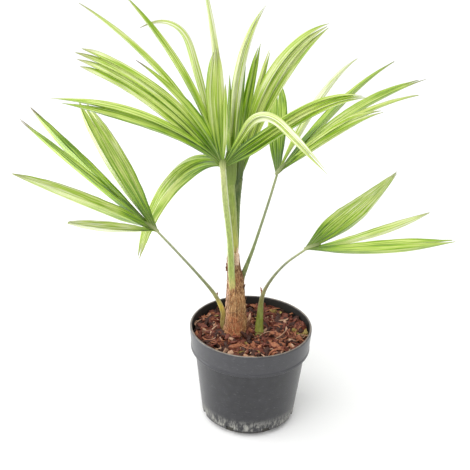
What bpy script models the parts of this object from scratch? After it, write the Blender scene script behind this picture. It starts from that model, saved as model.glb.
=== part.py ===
"""Potted Chinese windmill palm: a young fan palm with six fronds in a black nursery pot.

Metres, +Z up. The origin is the middle of the pot's flat underside, +X is the plant's right side
and +Y its back. Tables of leaf sizes are in millimetres and degrees, and MM turns them to metres.
"""
import math
from collections import namedtuple

import bmesh
import bpy
import numpy as np
from mathutils import Matrix, Vector

MM = 0.001

# The gap between pieces that rest on each other
CLEARANCE = 0.3 * MM

# The nursery pot: a tapered wall with a wide collar under the rim and an inset foot
POT_HEIGHT = 135 * MM
RIM_RADIUS = 80 * MM
COLLAR_HEIGHT = 32 * MM
COLLAR_FOOT_RADIUS = 78.5 * MM
BEAD_HEIGHT = 4 * MM
BEAD_DEPTH = 1.2 * MM
WALL_TOP_RADIUS = 73 * MM
WALL_FOOT_RADIUS = 62 * MM
FOOT_HEIGHT = 8 * MM
FOOT_RADIUS = 54.5 * MM
WALL_THICKNESS = 2.2 * MM
RIM_WIDTH = 3.2 * MM
FLOOR_THICKNESS = 4 * MM
POT_SEGMENTS = 48
FOOT_CHAMFER = 1.5 * MM
LIP = 0.6 * MM
DRAIN_COUNT = 8
DRAIN_WIDTH = 10 * MM
DRAIN_HEIGHT = 6 * MM
DRAIN_MIDDLE = 2.4 * MM
DRAIN_REACH = 2 * (WALL_FOOT_RADIUS - FOOT_RADIUS) + 4 * WALL_THICKNESS

# The bark mulch on top of the root ball that fills the pot: it drops a little at the wall, and is
# level out to a reach from each stem, then fades into its bumps
GROUND = 121 * MM
MULCH_EDGE_DROP = 3 * MM
MULCH_EDGE_GAP = 1.4 * MM
MULCH_BUMP = 3.5 * MM
MULCH_LEVEL_REACH = 20 * MM
MULCH_FADE = 14 * MM
MULCH_RINGS = 9
MULCH_SEGMENTS = 32
MULCH_SEED = 5

# The trunk: a short stem wrapped in the fibre of old leaf sheaths. Each row is the middle of a ring
# and its radius in millimetres: a flared foot, a shaft, and a shoulder where the last stalks leave.
TRUNK_SIDES = 18
TRUNK_RIDGE = 0.035
TRUNK_RIDGES = 5
TRUNK_RIDGE_TWIST = 0.06
TRUNK_RINGS = ((-21, -4, 121.3, 17), (-21, -4, 128, 16), (-20.8, -3.8, 138, 14.8),
               (-20.6, -3.2, 155, 13.4), (-21, -2.2, 186, 11.5), (-21.8, -1.4, 201, 10.3),
               (-24.4, -0.8, 215, 8.7), (-25.8, -0.2, 228, 7.7), (-26.2, 0.4, 240, 7.2))
TRUNK_CUT_REACH = 2 * MM

# A petiole is wider than deep, and a little narrower again where it meets the hub. Those that
# spring from the trunk's side are cut back to its surface.
PETIOLE_SIDES = 8
PETIOLE_STATIONS = 13
PETIOLE_FLATNESS = 0.72
PETIOLE_NECK = 0.92
SIDE_PETIOLES = ("front", "back", "left")

# The knob where a petiole opens into its blade, and the thick web in front of it that the blade's
# segments spring from: half its length, width and depth
HUB_RADIUS = 5 * MM
WEB_SIZE = Vector((15 * MM, 7 * MM, 4 * MM))
WEB_AHEAD = 10 * MM

# The rule of a blade's segments, with places given as shares of their length: width at the hub,
# where it starts to narrow, where the pleats are folded up, where the points part
PATH_STEPS = 60
BASE_SHARE = 0.12
TAPER_FROM = 0.42
POINTED_END = 0.3
FOLDED_AT = 0.25
SPLIT_AT = 0.7
TIP_SHARE = 0.1
KINK_SPAN = 0.35
FOLD_SLOPE = 0.62
THICKNESS_SHARE = 0.01

# Rows of points along a strap: a least number, and one more for each so many degrees of droop
FEWEST_STATIONS = 7
DEGREES_PER_STATION = 13

# One segment of a blade: a strap of one to four pleats that are joined side by side.
# turn: angle from the blade's middle line, to its side. lift: angle above the blade's plane.
# droop: how far the strap has turned down at its tip. sweep: how far it has turned sideways there.
# bend: above 1 both turns come late. kink: where a creased strap folds over, as a share of its
# length, in place of a steady bend. tips: how many points the strap ends in. full: share of the
# length where it reaches its full width. taper: above 1 it narrows late. end: width left at the tip.
Strap = namedtuple("Strap", "turn lift length droop width pleats tips end bend kink sweep full taper",
                   defaults=(1, 1, 0.05, 1.5, None, 0, 0.42, 1.4))

# Each frond: where its hub is, where its blade points (bearing from +X, rise above level), how its
# petiole runs up to the hub (points with the half width there), and the blade's straps in order.
Frond = namedtuple("Frond", "hub bearing rise petiole straps")

FRONDS = {
    "front": Frond(
        hub=(-41, -30, 364), bearing=-100, rise=85,
        petiole=((-23, -5, 176, 4.6), (-26.5, -12.5, 206, 4.2), (-30.2, -18, 262, 4.0),
                 (-36.8, -25, 318, 3.9)),
        straps=(
            Strap(52, 28, 245, 112, 28, pleats=2, tips=2, bend=0.32, full=0.4, taper=1.6),
            Strap(38, 2, 220, 38, 22, pleats=2, tips=2, bend=0.45, sweep=12, full=0.8, taper=2),
            Strap(40, 4, 216, 9, 30, pleats=4, tips=4, end=1, bend=1.2, sweep=28, full=0.6),
            Strap(25, 2, 247, 34, 8, end=0.1, bend=1, full=0.66, taper=2.3),
            Strap(15, -5, 170, 34, 12, bend=0.7, full=0.7, taper=1.2),
            Strap(14.5, -3, 224, 25, 9, end=0.2, bend=1, full=0.55, taper=2.6),
            Strap(15, 0, 214, 98, 10, kink=0.82, full=0.8, taper=2.5),
            Strap(2.5, 0, 222, 16, 10, end=0.2, bend=2),
            Strap(8.5, -7, 150, 0, 22, pleats=3, end=0.2, bend=1.1, sweep=-15, full=0.8, taper=3),
            Strap(-3, -8, 109, 0, 7, full=0.55, taper=2.5),
            Strap(-28, -4, 184, 98, 14, pleats=2, tips=2, kink=0.46, full=0.8, taper=3),
            Strap(-50, 0, 194, 45, 18, pleats=4, bend=4, full=0.3, taper=3),
        )),
    "middle": Frond(
        hub=(-32, -1, 334), bearing=-90, rise=88,
        petiole=((-25, -1, 240.3, 5.8), (-26.8, -1, 266, 5.8), (-29.6, -1, 304, 5.8)),
        straps=(
            Strap(1.7, 0, 134, 0, 9),
            Strap(-1, -1, 222, 4, 12, pleats=2, bend=3, sweep=-33, full=0.3, taper=3),
            Strap(-5.4, 1, 150, 0, 10),
        )),
    "spear": Frond(
        hub=(-21, 9.5, 338), bearing=-60, rise=86,
        petiole=((-22.5, 6.4, 240.3, 3.4), (-22.6, 6.8, 272, 3.6), (-22.8, 7.8, 306, 3.8)),
        straps=(
            Strap(9, 0, 165, 2, 14, pleats=2, end=0.2, bend=0.3, sweep=-20, full=0.7, taper=3),
            Strap(-4, 3, 156, 0, 10, pleats=2, end=0.3, bend=0.25, sweep=-11, full=0.8, taper=3),
            Strap(-13.5, 0, 216, 6, 34, pleats=3, end=0.2, bend=1.9, sweep=-47, full=0.8, taper=3),
        )),
    "back": Frond(
        hub=(27, 40, 333), bearing=20, rise=45,
        petiole=((-17, 0, 186, 4.2), (-13, 3, 204, 3.4), (0, 15, 240, 2.1), (17, 31, 296, 1.7)),
        straps=(
            Strap(-61, 0, 200, 4, 37, pleats=4, tips=2, bend=1.8, full=0.8, taper=2),
            Strap(-28, 0, 232, 33, 13, bend=2, full=0.47, taper=1.7),
            Strap(-3.5, 0, 205, 22, 14, bend=2.7, full=0.6),
            Strap(5.5, 1, 219, 32, 18, pleats=2, tips=2, bend=1.3, full=0.8, taper=3),
            Strap(16, 3, 198, 32, 10, end=0.1, taper=1.8),
            Strap(22, 1, 153, 27, 20, pleats=2, tips=2, bend=3.4, full=0.8, taper=3),
        )),
    "left": Frond(
        hub=(-120, -30, 280), bearing=180, rise=35,
        petiole=((-30, -7, 125, 3.6), (-36.5, -8, 138, 3.5), (-37, -8, 157, 3.3),
                 (-47, -9, 181, 2.7), (-66, -14, 209, 2.0), (-98, -24, 252, 1.8)),
        straps=(
            Strap(-53, 0, 164, -7, 15, end=0.2, full=0.74, taper=2.9),
            Strap(-24, 0, 194, 3, 19, full=0.25, taper=2.6),
            Strap(7.5, 1, 217, 4, 16, pleats=2, tips=2, bend=0.43, sweep=15, full=0.3, taper=2.5),
            Strap(19, -1, 249, 4, 19, bend=1, sweep=29, full=0.66, taper=2.1),
            Strap(42, 8, 236, 6, 46, pleats=3, tips=3, bend=2.2, sweep=14, full=0.6, taper=2.6),
        )),
    "right": Frond(
        hub=(65, -20, 257), bearing=0, rise=20,
        petiole=((11, -3, 121.3, 6.2), (11, -4, 145, 4.7), (13, -6, 180, 2.8),
                 (23, -9, 206, 2.0), (40, -14, 232, 1.8)),
        straps=(
            Strap(-38, 0, 227, 4, 47, pleats=4, bend=0.5, sweep=-20, full=0.37, taper=1),
            Strap(17, -2, 160, 2, 14, bend=0.9, sweep=-45, full=0.8, taper=2.8),
            Strap(42, 2, 190, 4, 25, pleats=2, tips=2, bend=0.86, sweep=-27, full=0.8, taper=3),
        )),
}


def clear_scene():
    for obj in list(bpy.data.objects):
        bpy.data.objects.remove(obj, do_unlink=True)


def principled(name, colour, roughness):
    material = bpy.data.materials.new(name)
    material.use_nodes = True
    shader = material.node_tree.nodes["Principled BSDF"]
    shader.inputs["Base Color"].default_value = (*colour, 1)
    shader.inputs["Roughness"].default_value = roughness
    shader.inputs["Metallic"].default_value = 0
    return material


def add_mesh_object(name, vertices, faces, material):
    """Make a closed mesh object with its faces turned outwards."""
    mesh = bpy.data.meshes.new(name)
    mesh.from_pydata([tuple(v) for v in vertices], [], faces)
    work = bmesh.new()
    work.from_mesh(mesh)
    bmesh.ops.recalc_face_normals(work, faces=work.faces)
    work.to_mesh(mesh)
    work.free()
    mesh.materials.append(material)
    obj = bpy.data.objects.new(name, mesh)
    bpy.context.scene.collection.objects.link(obj)
    return obj


def lathe(name, profile, segments, material):
    """Turn a profile of (radius, height), whose two ends lie on the axis, into a closed solid."""
    rings = profile[1:-1]
    vertices = [(0, 0, profile[0][1])]
    for radius, height in rings:
        for k in range(segments):
            angle = 2 * math.pi * k / segments
            vertices.append((radius * math.cos(angle), radius * math.sin(angle), height))
    vertices.append((0, 0, profile[-1][1]))
    last = len(vertices) - 1
    faces = []
    for k in range(segments):
        after = (k + 1) % segments
        faces.append((0, 1 + after, 1 + k))
        for ring in range(len(rings) - 1):
            low = 1 + ring * segments
            high = low + segments
            faces.append((low + k, low + after, high + after, high + k))
        top = 1 + (len(rings) - 1) * segments
        faces.append((top + k, top + after, last))
    return add_mesh_object(name, vertices, faces, material)


def apply_modifiers(obj):
    """Replace an object's mesh by what its modifiers make of it."""
    depsgraph = bpy.context.evaluated_depsgraph_get()
    mesh = bpy.data.meshes.new_from_object(obj.evaluated_get(depsgraph))
    obj.modifiers.clear()
    obj.data = mesh


def wall_radius(height):
    """Outer radius of the pot's wall, which widens evenly from its foot to the collar."""
    collar_foot = POT_HEIGHT - COLLAR_HEIGHT
    share = (height - FOOT_HEIGHT) / (collar_foot - FOOT_HEIGHT)
    return WALL_FOOT_RADIUS + share * (WALL_TOP_RADIUS - WALL_FOOT_RADIUS)


def pot_inner_profile(inset):
    """The pot's inner surface from its floor to the rim, moved in by inset."""
    step = WALL_THICKNESS + inset
    collar_foot = POT_HEIGHT - COLLAR_HEIGHT
    ledge = FOOT_HEIGHT + WALL_THICKNESS + inset
    return (
        (FOOT_RADIUS - step, FLOOR_THICKNESS + inset),
        (FOOT_RADIUS - step, ledge),
        (wall_radius(FOOT_HEIGHT) - step, ledge),
        (WALL_TOP_RADIUS - step, collar_foot + WALL_THICKNESS),
        (COLLAR_FOOT_RADIUS - step, collar_foot + 2.5 * WALL_THICKNESS),
        (RIM_RADIUS - RIM_WIDTH - inset, POT_HEIGHT - RIM_WIDTH),
    )


def build_pot():
    """A turned shell, with drain notches where the wall meets the foot."""
    material = principled("pot_plastic", (0.035, 0.036, 0.04), 0.5)
    collar_foot = POT_HEIGHT - COLLAR_HEIGHT
    bead = collar_foot + BEAD_HEIGHT
    outside = (
        (0, 0),
        (FOOT_RADIUS - FOOT_CHAMFER, 0),
        (FOOT_RADIUS, FOOT_CHAMFER),
        (FOOT_RADIUS, FOOT_HEIGHT),
        (WALL_FOOT_RADIUS, FOOT_HEIGHT),
        (WALL_TOP_RADIUS, collar_foot),
        (COLLAR_FOOT_RADIUS - BEAD_DEPTH, collar_foot),
        (COLLAR_FOOT_RADIUS, collar_foot + BEAD_DEPTH),
        (COLLAR_FOOT_RADIUS, bead),
        (COLLAR_FOOT_RADIUS - BEAD_DEPTH / 2, bead + BEAD_DEPTH),
        (RIM_RADIUS, POT_HEIGHT - 3 * LIP),
        (RIM_RADIUS - LIP, POT_HEIGHT - LIP),
        (RIM_RADIUS - RIM_WIDTH / 2, POT_HEIGHT),
        (RIM_RADIUS - RIM_WIDTH + LIP / 2, POT_HEIGHT - LIP),
    )
    inside = tuple(reversed(pot_inner_profile(0)))
    pot = lathe("pot", outside + inside + ((0, FLOOR_THICKNESS),), POT_SEGMENTS, material)
    for k in range(DRAIN_COUNT):
        cut_drain(pot, 2 * math.pi * (k + 0.5) / DRAIN_COUNT, k)
    apply_modifiers(pot)
    for cutter in [obj for obj in bpy.data.objects if obj.name.startswith("drain_cutter")]:
        bpy.data.objects.remove(cutter, do_unlink=True)
    pot.data.shade_smooth()
    pot.data.set_sharp_from_angle(angle=math.radians(30))
    return pot


def cut_drain(pot, angle, number):
    """Cut one notch through the lower edge of the wall, down to the foot's step."""
    cutter_mesh = bpy.data.meshes.new("drain_cutter")
    work = bmesh.new()
    bmesh.ops.create_cube(work, size=1)
    bmesh.ops.scale(work, vec=(DRAIN_REACH, DRAIN_WIDTH, DRAIN_HEIGHT), verts=work.verts)
    bmesh.ops.translate(work, vec=(WALL_FOOT_RADIUS, 0, FOOT_HEIGHT + DRAIN_MIDDLE),
                        verts=work.verts)
    bmesh.ops.rotate(work, matrix=Matrix.Rotation(angle, 3, "Z"), verts=work.verts)
    work.to_mesh(cutter_mesh)
    work.free()
    cutter = bpy.data.objects.new(f"drain_cutter_{number}", cutter_mesh)
    cutter.hide_render = True
    cutter.display_type = "WIRE"
    bpy.context.scene.collection.objects.link(cutter)
    modifier = pot.modifiers.new(f"Drain {number}", "BOOLEAN")
    modifier.operation = "DIFFERENCE"
    modifier.object = cutter
    modifier.solver = "EXACT"


def build_mulch():
    """The root ball as a plug inside the pot, with a rough bark top that is level at the stems."""
    material = principled("bark_mulch", (0.16, 0.065, 0.035), 0.9)
    edge_height = GROUND - MULCH_EDGE_DROP
    sides = [point for point in pot_inner_profile(CLEARANCE) if point[1] < edge_height]
    edge_radius = RIM_RADIUS - RIM_WIDTH - MULCH_EDGE_GAP
    profile = [(0, FLOOR_THICKNESS + CLEARANCE)] + sides
    profile.append((edge_radius, edge_height))
    for ring in range(MULCH_RINGS):
        share = 1 - (ring + 1) / (MULCH_RINGS + 1)
        profile.append((edge_radius * share, GROUND))
    profile.append((0, GROUND))
    mulch = lathe("mulch", profile, MULCH_SEGMENTS, material)
    random = np.random.default_rng(MULCH_SEED)
    stems = [Vector(row[:2]) * MM for row in (TRUNK_RINGS[0], FRONDS["right"].petiole[0])]
    for vertex in mulch.data.vertices:
        bump = random.uniform(-1, 1) * MULCH_BUMP
        away = min((vertex.co.xy - stem).length for stem in stems)
        fade = min(1, max(0, (away - MULCH_LEVEL_REACH) / MULCH_FADE))
        if vertex.co.z > (GROUND + edge_height) / 2:
            vertex.co.z += bump * fade
    return mulch


def trunk_mesh(name, growth, reach, material):
    """The trunk's rings, each with shallow fibre ridges that wind up it, closed by flat ends.

    growth makes every ring wider, and reach moves the two ends apart.
    """
    vertices = []
    last = len(TRUNK_RINGS) - 1
    for number, (x, y, height, radius) in enumerate(TRUNK_RINGS):
        level = height * MM
        if number == 0:
            level -= reach
        if number == last:
            level += reach
        for k in range(TRUNK_SIDES):
            angle = 2 * math.pi * k / TRUNK_SIDES
            ridge = 1 + TRUNK_RIDGE * math.sin(TRUNK_RIDGES * angle + TRUNK_RIDGE_TWIST * height)
            out = radius * MM * ridge + growth
            vertices.append((x * MM + out * math.cos(angle), y * MM + out * math.sin(angle), level))
    faces = [tuple(reversed(range(TRUNK_SIDES)))]
    for ring in range(last):
        low = ring * TRUNK_SIDES
        for k in range(TRUNK_SIDES):
            after = (k + 1) % TRUNK_SIDES
            faces.append((low + k, low + after, low + TRUNK_SIDES + after, low + TRUNK_SIDES + k))
    top = last * TRUNK_SIDES
    faces.append(tuple(range(top, top + TRUNK_SIDES)))
    return add_mesh_object(name, vertices, faces, material)


def build_trunk():
    material = principled("sheath_fibre", (0.23, 0.12, 0.055), 0.85)
    trunk = trunk_mesh("trunk", 0, 0, material)
    trunk.data.shade_smooth()
    trunk.data.set_sharp_from_angle(angle=math.radians(40))
    return trunk


def smooth_route(points, stations):
    """Points spread along a smooth curve through the given ones (Catmull-Rom spans)."""
    rows = np.array(points, float)
    ahead = np.vstack([2 * rows[0] - rows[1], rows, 2 * rows[-1] - rows[-2]])
    route = []
    for position in np.linspace(0, len(rows) - 1, stations):
        span = min(int(position), len(rows) - 2)
        t = position - span
        a, b, c, d = ahead[span:span + 4]
        route.append(0.5 * (2 * b + (c - a) * t + (2 * a - 5 * b + 4 * c - d) * t * t
                            + (3 * b - a - 3 * c + d) * t ** 3))
    return np.array(route)


def build_petiole(name, frond, material):
    """A tapering, slightly flat stalk from its base to just short of the blade's hub."""
    hub = Vector(frond.hub) * MM
    last = Vector(frond.petiole[-1][:3]) * MM
    tip = hub + (last - hub).normalized() * (HUB_RADIUS + CLEARANCE)
    end_row = tuple(v / MM for v in tip) + (frond.petiole[-1][3] * PETIOLE_NECK,)
    rows = smooth_route(frond.petiole + (end_row,), PETIOLE_STATIONS) * MM
    centres = [Vector(row[:3]) for row in rows]
    side = Vector((1, 0, 0))
    vertices = []
    for number, centre in enumerate(centres):
        before = centres[max(0, number - 1)]
        after = centres[min(len(centres) - 1, number + 1)]
        along = (after - before).normalized()
        if number == 0 and name not in SIDE_PETIOLES:
            along = Vector((0, 0, 1))
        if number == len(centres) - 1:
            along = (hub - last).normalized()
        side = (side - along * side.dot(along)).normalized()
        depth = along.cross(side)
        half_width = rows[number][3]
        for k in range(PETIOLE_SIDES):
            angle = 2 * math.pi * (k + 0.5) / PETIOLE_SIDES
            offset = side * math.cos(angle) * half_width
            offset += depth * math.sin(angle) * half_width * PETIOLE_FLATNESS
            vertices.append(centre + offset)
    faces = [tuple(reversed(range(PETIOLE_SIDES)))]
    for ring in range(len(centres) - 1):
        low = ring * PETIOLE_SIDES
        for k in range(PETIOLE_SIDES):
            after = (k + 1) % PETIOLE_SIDES
            faces.append((low + k, low + after,
                          low + PETIOLE_SIDES + after, low + PETIOLE_SIDES + k))
    top = (len(centres) - 1) * PETIOLE_SIDES
    faces.append(tuple(range(top, top + PETIOLE_SIDES)))
    petiole = add_mesh_object(f"petiole_{name}", vertices, faces, material)
    petiole.data.shade_smooth()
    petiole.data.set_sharp_from_angle(angle=math.radians(60))
    return petiole


def trim_to_trunk(petioles, material):
    """Cut the side petioles back so that they end just clear of the trunk's surface."""
    cutter = trunk_mesh("trunk_cutter", CLEARANCE, TRUNK_CUT_REACH, material)
    cutter.hide_render = True
    cutter.display_type = "WIRE"
    for petiole in petioles:
        modifier = petiole.modifiers.new("Clear the trunk", "BOOLEAN")
        modifier.operation = "DIFFERENCE"
        modifier.object = cutter
        modifier.solver = "EXACT"
        apply_modifiers(petiole)
    bpy.data.objects.remove(cutter, do_unlink=True)


def blade_axes(frond):
    """The blade's middle line, its side and its upper normal, as unit vectors."""
    bearing = math.radians(frond.bearing)
    rise = math.radians(frond.rise)
    ahead = Vector((math.cos(rise) * math.cos(bearing), math.cos(rise) * math.sin(bearing),
                    math.sin(rise)))
    side = ahead.cross(Vector((0, 0, 1))).normalized()
    return ahead, side, side.cross(ahead)


def turned_share(strap, share):
    """How much of its turns a strap has made: a power of the share, or an S around its kink."""
    if strap.kink is None:
        return share ** strap.bend
    along = min(1, max(0, (share - strap.kink) / KINK_SPAN + 0.5))
    return along * along * (3 - 2 * along)


def flat_way(frond, strap, turned):
    """The way along a strap, before it droops, once it has made a share of its sideways turn."""
    ahead, side, normal = blade_axes(frond)
    turn = math.radians(strap.turn + strap.sweep * turned)
    lift = math.radians(strap.lift)
    way = math.cos(lift) * (math.cos(turn) * ahead + math.sin(turn) * side)
    return way + math.sin(lift) * normal


def strap_route(frond, strap):
    """Centre, side and normal at even steps along a strap that turns towards the ground."""
    normal = blade_axes(frond)[2]
    level = flat_way(frond, strap, 0).cross(Vector((0, 0, 1))).normalized()
    step = strap.length * MM / PATH_STEPS
    centre = Vector(frond.hub) * MM
    route = []
    for number in range(PATH_STEPS + 1):
        turned = turned_share(strap, number / PATH_STEPS)
        flat = flat_way(frond, strap, turned)
        bent = Matrix.Rotation(-math.radians(strap.droop) * turned, 3, level)
        way = bent @ flat
        width_way = bent @ flat.cross(normal).normalized()
        route.append((centre.copy(), width_way, width_way.cross(way)))
        centre += way * step
    return route


def strap_width(strap, share):
    """Strap width: opens from the hub, stays full, then narrows towards its end."""
    opened = math.sin(min(1, BASE_SHARE + share / strap.full) * math.pi / 2)
    narrowing = max(0, (share - TAPER_FROM) / (1 - TAPER_FROM))
    end = strap.end if strap.tips == 1 else max(strap.end, POINTED_END)
    return strap.width * MM * opened * (1 - (1 - end) * narrowing ** strap.taper)


def strap_shares(strap):
    """Shares of the length where the strap gets a row of points, more where it droops more."""
    count = FEWEST_STATIONS + int(abs(strap.droop) / DEGREES_PER_STATION)
    return np.linspace(0, 1, count)


def strap_lines(strap):
    """Lines along the strap: place from -1 to 1, is it a rib, its tip's number and middle."""
    lines = []
    per_tip = strap.pleats / strap.tips
    for tip in range(strap.tips):
        first = round(tip * per_tip)
        last = round((tip + 1) * per_tip)
        middle = (first + last) / strap.pleats - 1
        for half in range(2 * first, 2 * last + 1):
            lines.append((half / strap.pleats - 1, half % 2 == 1, tip, middle))
    return lines


def build_strap(name, frond, strap, material):
    """A folded strap as a closed solid: its upper face, and the same face moved down."""
    route = strap_route(frond, strap)
    lines = strap_lines(strap)
    thickness = strap.length * MM * THICKNESS_SHARE
    upper = []
    lower = []
    rows = []
    for share in strap_shares(strap):
        centre, side, normal = route[round(share * PATH_STEPS)]
        half_width = strap_width(strap, share) / 2
        past_split = max(0, (share - SPLIT_AT) / (1 - SPLIT_AT))
        narrow = 1
        if strap.tips > 1:
            narrow = 1 - (1 - TIP_SHARE) * past_split
        fold = FOLD_SLOPE * half_width / strap.pleats * narrow * min(1, share / FOLDED_AT)
        row = []
        last_place = None
        for place, is_rib, tip, middle in lines:
            if past_split == 0 and place == last_place:
                row.append(row[-1])
                continue
            across = middle + (place - middle) * narrow
            height = -fold if is_rib else fold
            point = centre + side * across * half_width + normal * height
            row.append(len(upper))
            upper.append(point)
            lower.append(point - normal * thickness)
            last_place = place
        rows.append(row)
    count = len(upper)
    sheet = []
    for row, following in zip(rows, rows[1:]):
        for k in range(len(lines) - 1):
            if lines[k][2] == lines[k + 1][2]:
                sheet.append((row[k], row[k + 1], following[k + 1], following[k]))
    edges = {(a, b) for face in sheet for a, b in zip(face, face[1:] + face[:1])}
    faces = list(sheet)
    faces += [tuple(count + v for v in reversed(face)) for face in sheet]
    for a, b in sorted(edges):
        if (b, a) not in edges:
            faces.append((b, a, count + a, count + b))
    return add_mesh_object(name, upper + lower, faces, material)


def build_ball(name, radius, place, material):
    """A faceted ball, or an ellipsoid where place stretches it."""
    mesh = bpy.data.meshes.new(name)
    work = bmesh.new()
    bmesh.ops.create_icosphere(work, subdivisions=2, radius=radius, matrix=place)
    bmesh.ops.recalc_face_normals(work, faces=work.faces)
    work.to_mesh(mesh)
    work.free()
    mesh.materials.append(material)
    ball = bpy.data.objects.new(name, mesh)
    bpy.context.scene.collection.objects.link(ball)
    return ball


def keep_outer_shell(mesh):
    """Fill the small hollows that the fused straps seal, and drop loose scraps."""
    work = bmesh.new()
    work.from_mesh(mesh)
    waiting = set(work.faces)
    shells = []
    while waiting:
        shell = {waiting.pop()}
        front = list(shell)
        while front:
            for edge in front.pop().edges:
                for face in edge.link_faces:
                    if face in waiting:
                        waiting.discard(face)
                        shell.add(face)
                        front.append(face)
        shells.append(shell)
    largest = max(shells, key=len)
    extra = [face for shell in shells if shell is not largest for face in shell]
    bmesh.ops.delete(work, geom=extra, context="FACES")
    work.to_mesh(mesh)
    work.free()


def build_blade(name, frond, material):
    """All straps of one blade fused with the knob at its hub."""
    straps = bpy.data.collections.new(f"straps_{name}")
    bpy.context.scene.collection.children.link(straps)
    ahead, side, normal = blade_axes(frond)
    hub = Matrix.Translation(Vector(frond.hub) * MM)
    turned = Matrix((ahead, side, normal)).transposed().to_4x4()
    web_place = hub @ Matrix.Translation(ahead * WEB_AHEAD) @ turned
    pieces = [build_strap(f"strap_{name}_{number}", frond, strap, material)
              for number, strap in enumerate(frond.straps)]
    pieces.append(build_ball(f"web_{name}", 1, web_place @ Matrix.Diagonal(WEB_SIZE).to_4x4(),
                             material))
    for piece in pieces:
        bpy.context.scene.collection.objects.unlink(piece)
        straps.objects.link(piece)
    blade = build_ball(f"frond_{name}", HUB_RADIUS, hub, material)
    modifier = blade.modifiers.new("Join the straps", "BOOLEAN")
    modifier.operation = "UNION"
    modifier.operand_type = "COLLECTION"
    modifier.collection = straps
    modifier.solver = "EXACT"
    apply_modifiers(blade)
    keep_outer_shell(blade.data)
    for piece in list(straps.objects):
        bpy.data.objects.remove(piece, do_unlink=True)
    bpy.data.collections.remove(straps)
    return blade


def main():
    clear_scene()
    palm = bpy.data.objects.new("palm_root", None)
    bpy.context.scene.collection.objects.link(palm)
    pieces = [build_pot(), build_mulch(), build_trunk()]
    stalk_green = principled("petiole_green", (0.26, 0.34, 0.1), 0.45)
    leaf_green = principled("blade_green", (0.22, 0.42, 0.05), 0.4)
    petioles = {name: build_petiole(name, frond, stalk_green) for name, frond in FRONDS.items()}
    trim_to_trunk([petioles[name] for name in SIDE_PETIOLES], stalk_green)
    pieces += petioles.values()
    pieces += [build_blade(name, frond, leaf_green) for name, frond in FRONDS.items()]
    for piece in pieces:
        piece.parent = palm


main()
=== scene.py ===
"""Potted Chinese windmill palm: the looks of its pot, root ball, trunk, stalks and fan leaves.

Metres, +Z up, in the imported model's frame: the origin is the middle of the pot's flat underside,
+X is the plant's right side and +Y its back. Tables of leaf sizes are in millimetres and degrees.
"""
from collections import namedtuple

import bpy
import numpy as np
from mathutils import Matrix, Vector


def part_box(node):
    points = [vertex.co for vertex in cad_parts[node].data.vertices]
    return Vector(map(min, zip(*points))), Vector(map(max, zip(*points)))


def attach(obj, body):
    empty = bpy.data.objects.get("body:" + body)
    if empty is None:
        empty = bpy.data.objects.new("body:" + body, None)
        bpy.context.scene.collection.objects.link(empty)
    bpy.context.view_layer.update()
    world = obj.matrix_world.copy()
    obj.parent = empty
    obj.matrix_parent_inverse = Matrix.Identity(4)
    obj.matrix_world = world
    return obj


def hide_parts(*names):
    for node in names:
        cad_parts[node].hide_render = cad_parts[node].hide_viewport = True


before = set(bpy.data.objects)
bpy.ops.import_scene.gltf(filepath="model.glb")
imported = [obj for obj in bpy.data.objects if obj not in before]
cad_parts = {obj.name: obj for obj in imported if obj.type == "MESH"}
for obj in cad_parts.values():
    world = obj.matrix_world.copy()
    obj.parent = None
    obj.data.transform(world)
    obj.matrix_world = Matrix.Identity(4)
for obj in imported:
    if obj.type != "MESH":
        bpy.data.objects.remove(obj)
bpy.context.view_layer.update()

MM = 0.001


# The pot
# A tapered nursery pot of thin black polypropylene, moulded in one piece. A wide collar stiffens its
# rim, and a ring of drain notches is cut through the step where the wall meets the smaller foot.
pot_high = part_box("pot")[1]
POT_HEIGHT = pot_high.z
RIM_RADIUS = pot_high.x
COLLAR_HEIGHT = 32 * MM
COLLAR_FOOT_RADIUS = 78.5 * MM
BEAD_HEIGHT = 4 * MM
BEAD_DEPTH = 1.2 * MM
WALL_TOP_RADIUS = 73 * MM
WALL_FOOT_RADIUS = 62 * MM
WALL_THICKNESS = 2.2 * MM
RIM_WIDTH = 3.2 * MM
LIP = 0.6 * MM
FOOT_HEIGHT = 8 * MM
FOOT_RADIUS = 54.5 * MM
FOOT_CHAMFER = 1.5 * MM
FLOOR_THICKNESS = 4 * MM
GATE_RADIUS = 1.5 * MM
NOTCH_COUNT = 8
NOTCH_WIDTH = 10 * MM
NOTCH_LOW = 7.4 * MM
NOTCH_HIGH = 13.4 * MM
NOTCH_CELLS = 5
WALL_CELLS = 10
LONGEST_STEP = 3 * MM
WALL_WAVE = 0.25 * MM
LIME_FROM = (8 * MM, 12 * MM)
LIME_UP_TO = (43 * MM, 30 * MM)
INSIDE_RADIUS = (77.8 * MM, 77.2 * MM)


def paint(red, green, blue):
    """A colour given as it is seen, 0 to 255, in the linear numbers that a shader takes."""
    seen = np.array([red, green, blue]) / 255
    linear = np.where(seen <= 0.04045, seen / 12.92, ((seen + 0.055) / 1.055) ** 2.4)
    return (*linear.tolist(), 1.0)


def add_node(near, kind, inputs, **settings):
    """Add a shader node beside a socket. A socket given as an input is linked, other values are set."""
    tree = near.id_data
    node = tree.nodes.new(kind)
    for name, value in settings.items():
        setattr(node, name, value)
    for name, value in inputs.items():
        if isinstance(value, bpy.types.NodeSocket):
            tree.links.new(value, node.inputs[name])
        else:
            node.inputs[name].default_value = value
    return node


def new_finish(name, roughness, specular=0.5):
    """A material, its shader, and the place on the piece that its patterns read."""
    material = bpy.data.materials.new(name)
    material.use_nodes = True
    shader = material.node_tree.nodes["Principled BSDF"]
    shader.inputs["Roughness"].default_value = roughness
    shader.inputs["Specular IOR Level"].default_value = specular
    place = add_node(shader.outputs[0], "ShaderNodeTexCoord", {}).outputs["Object"]
    return material, shader, place


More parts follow.
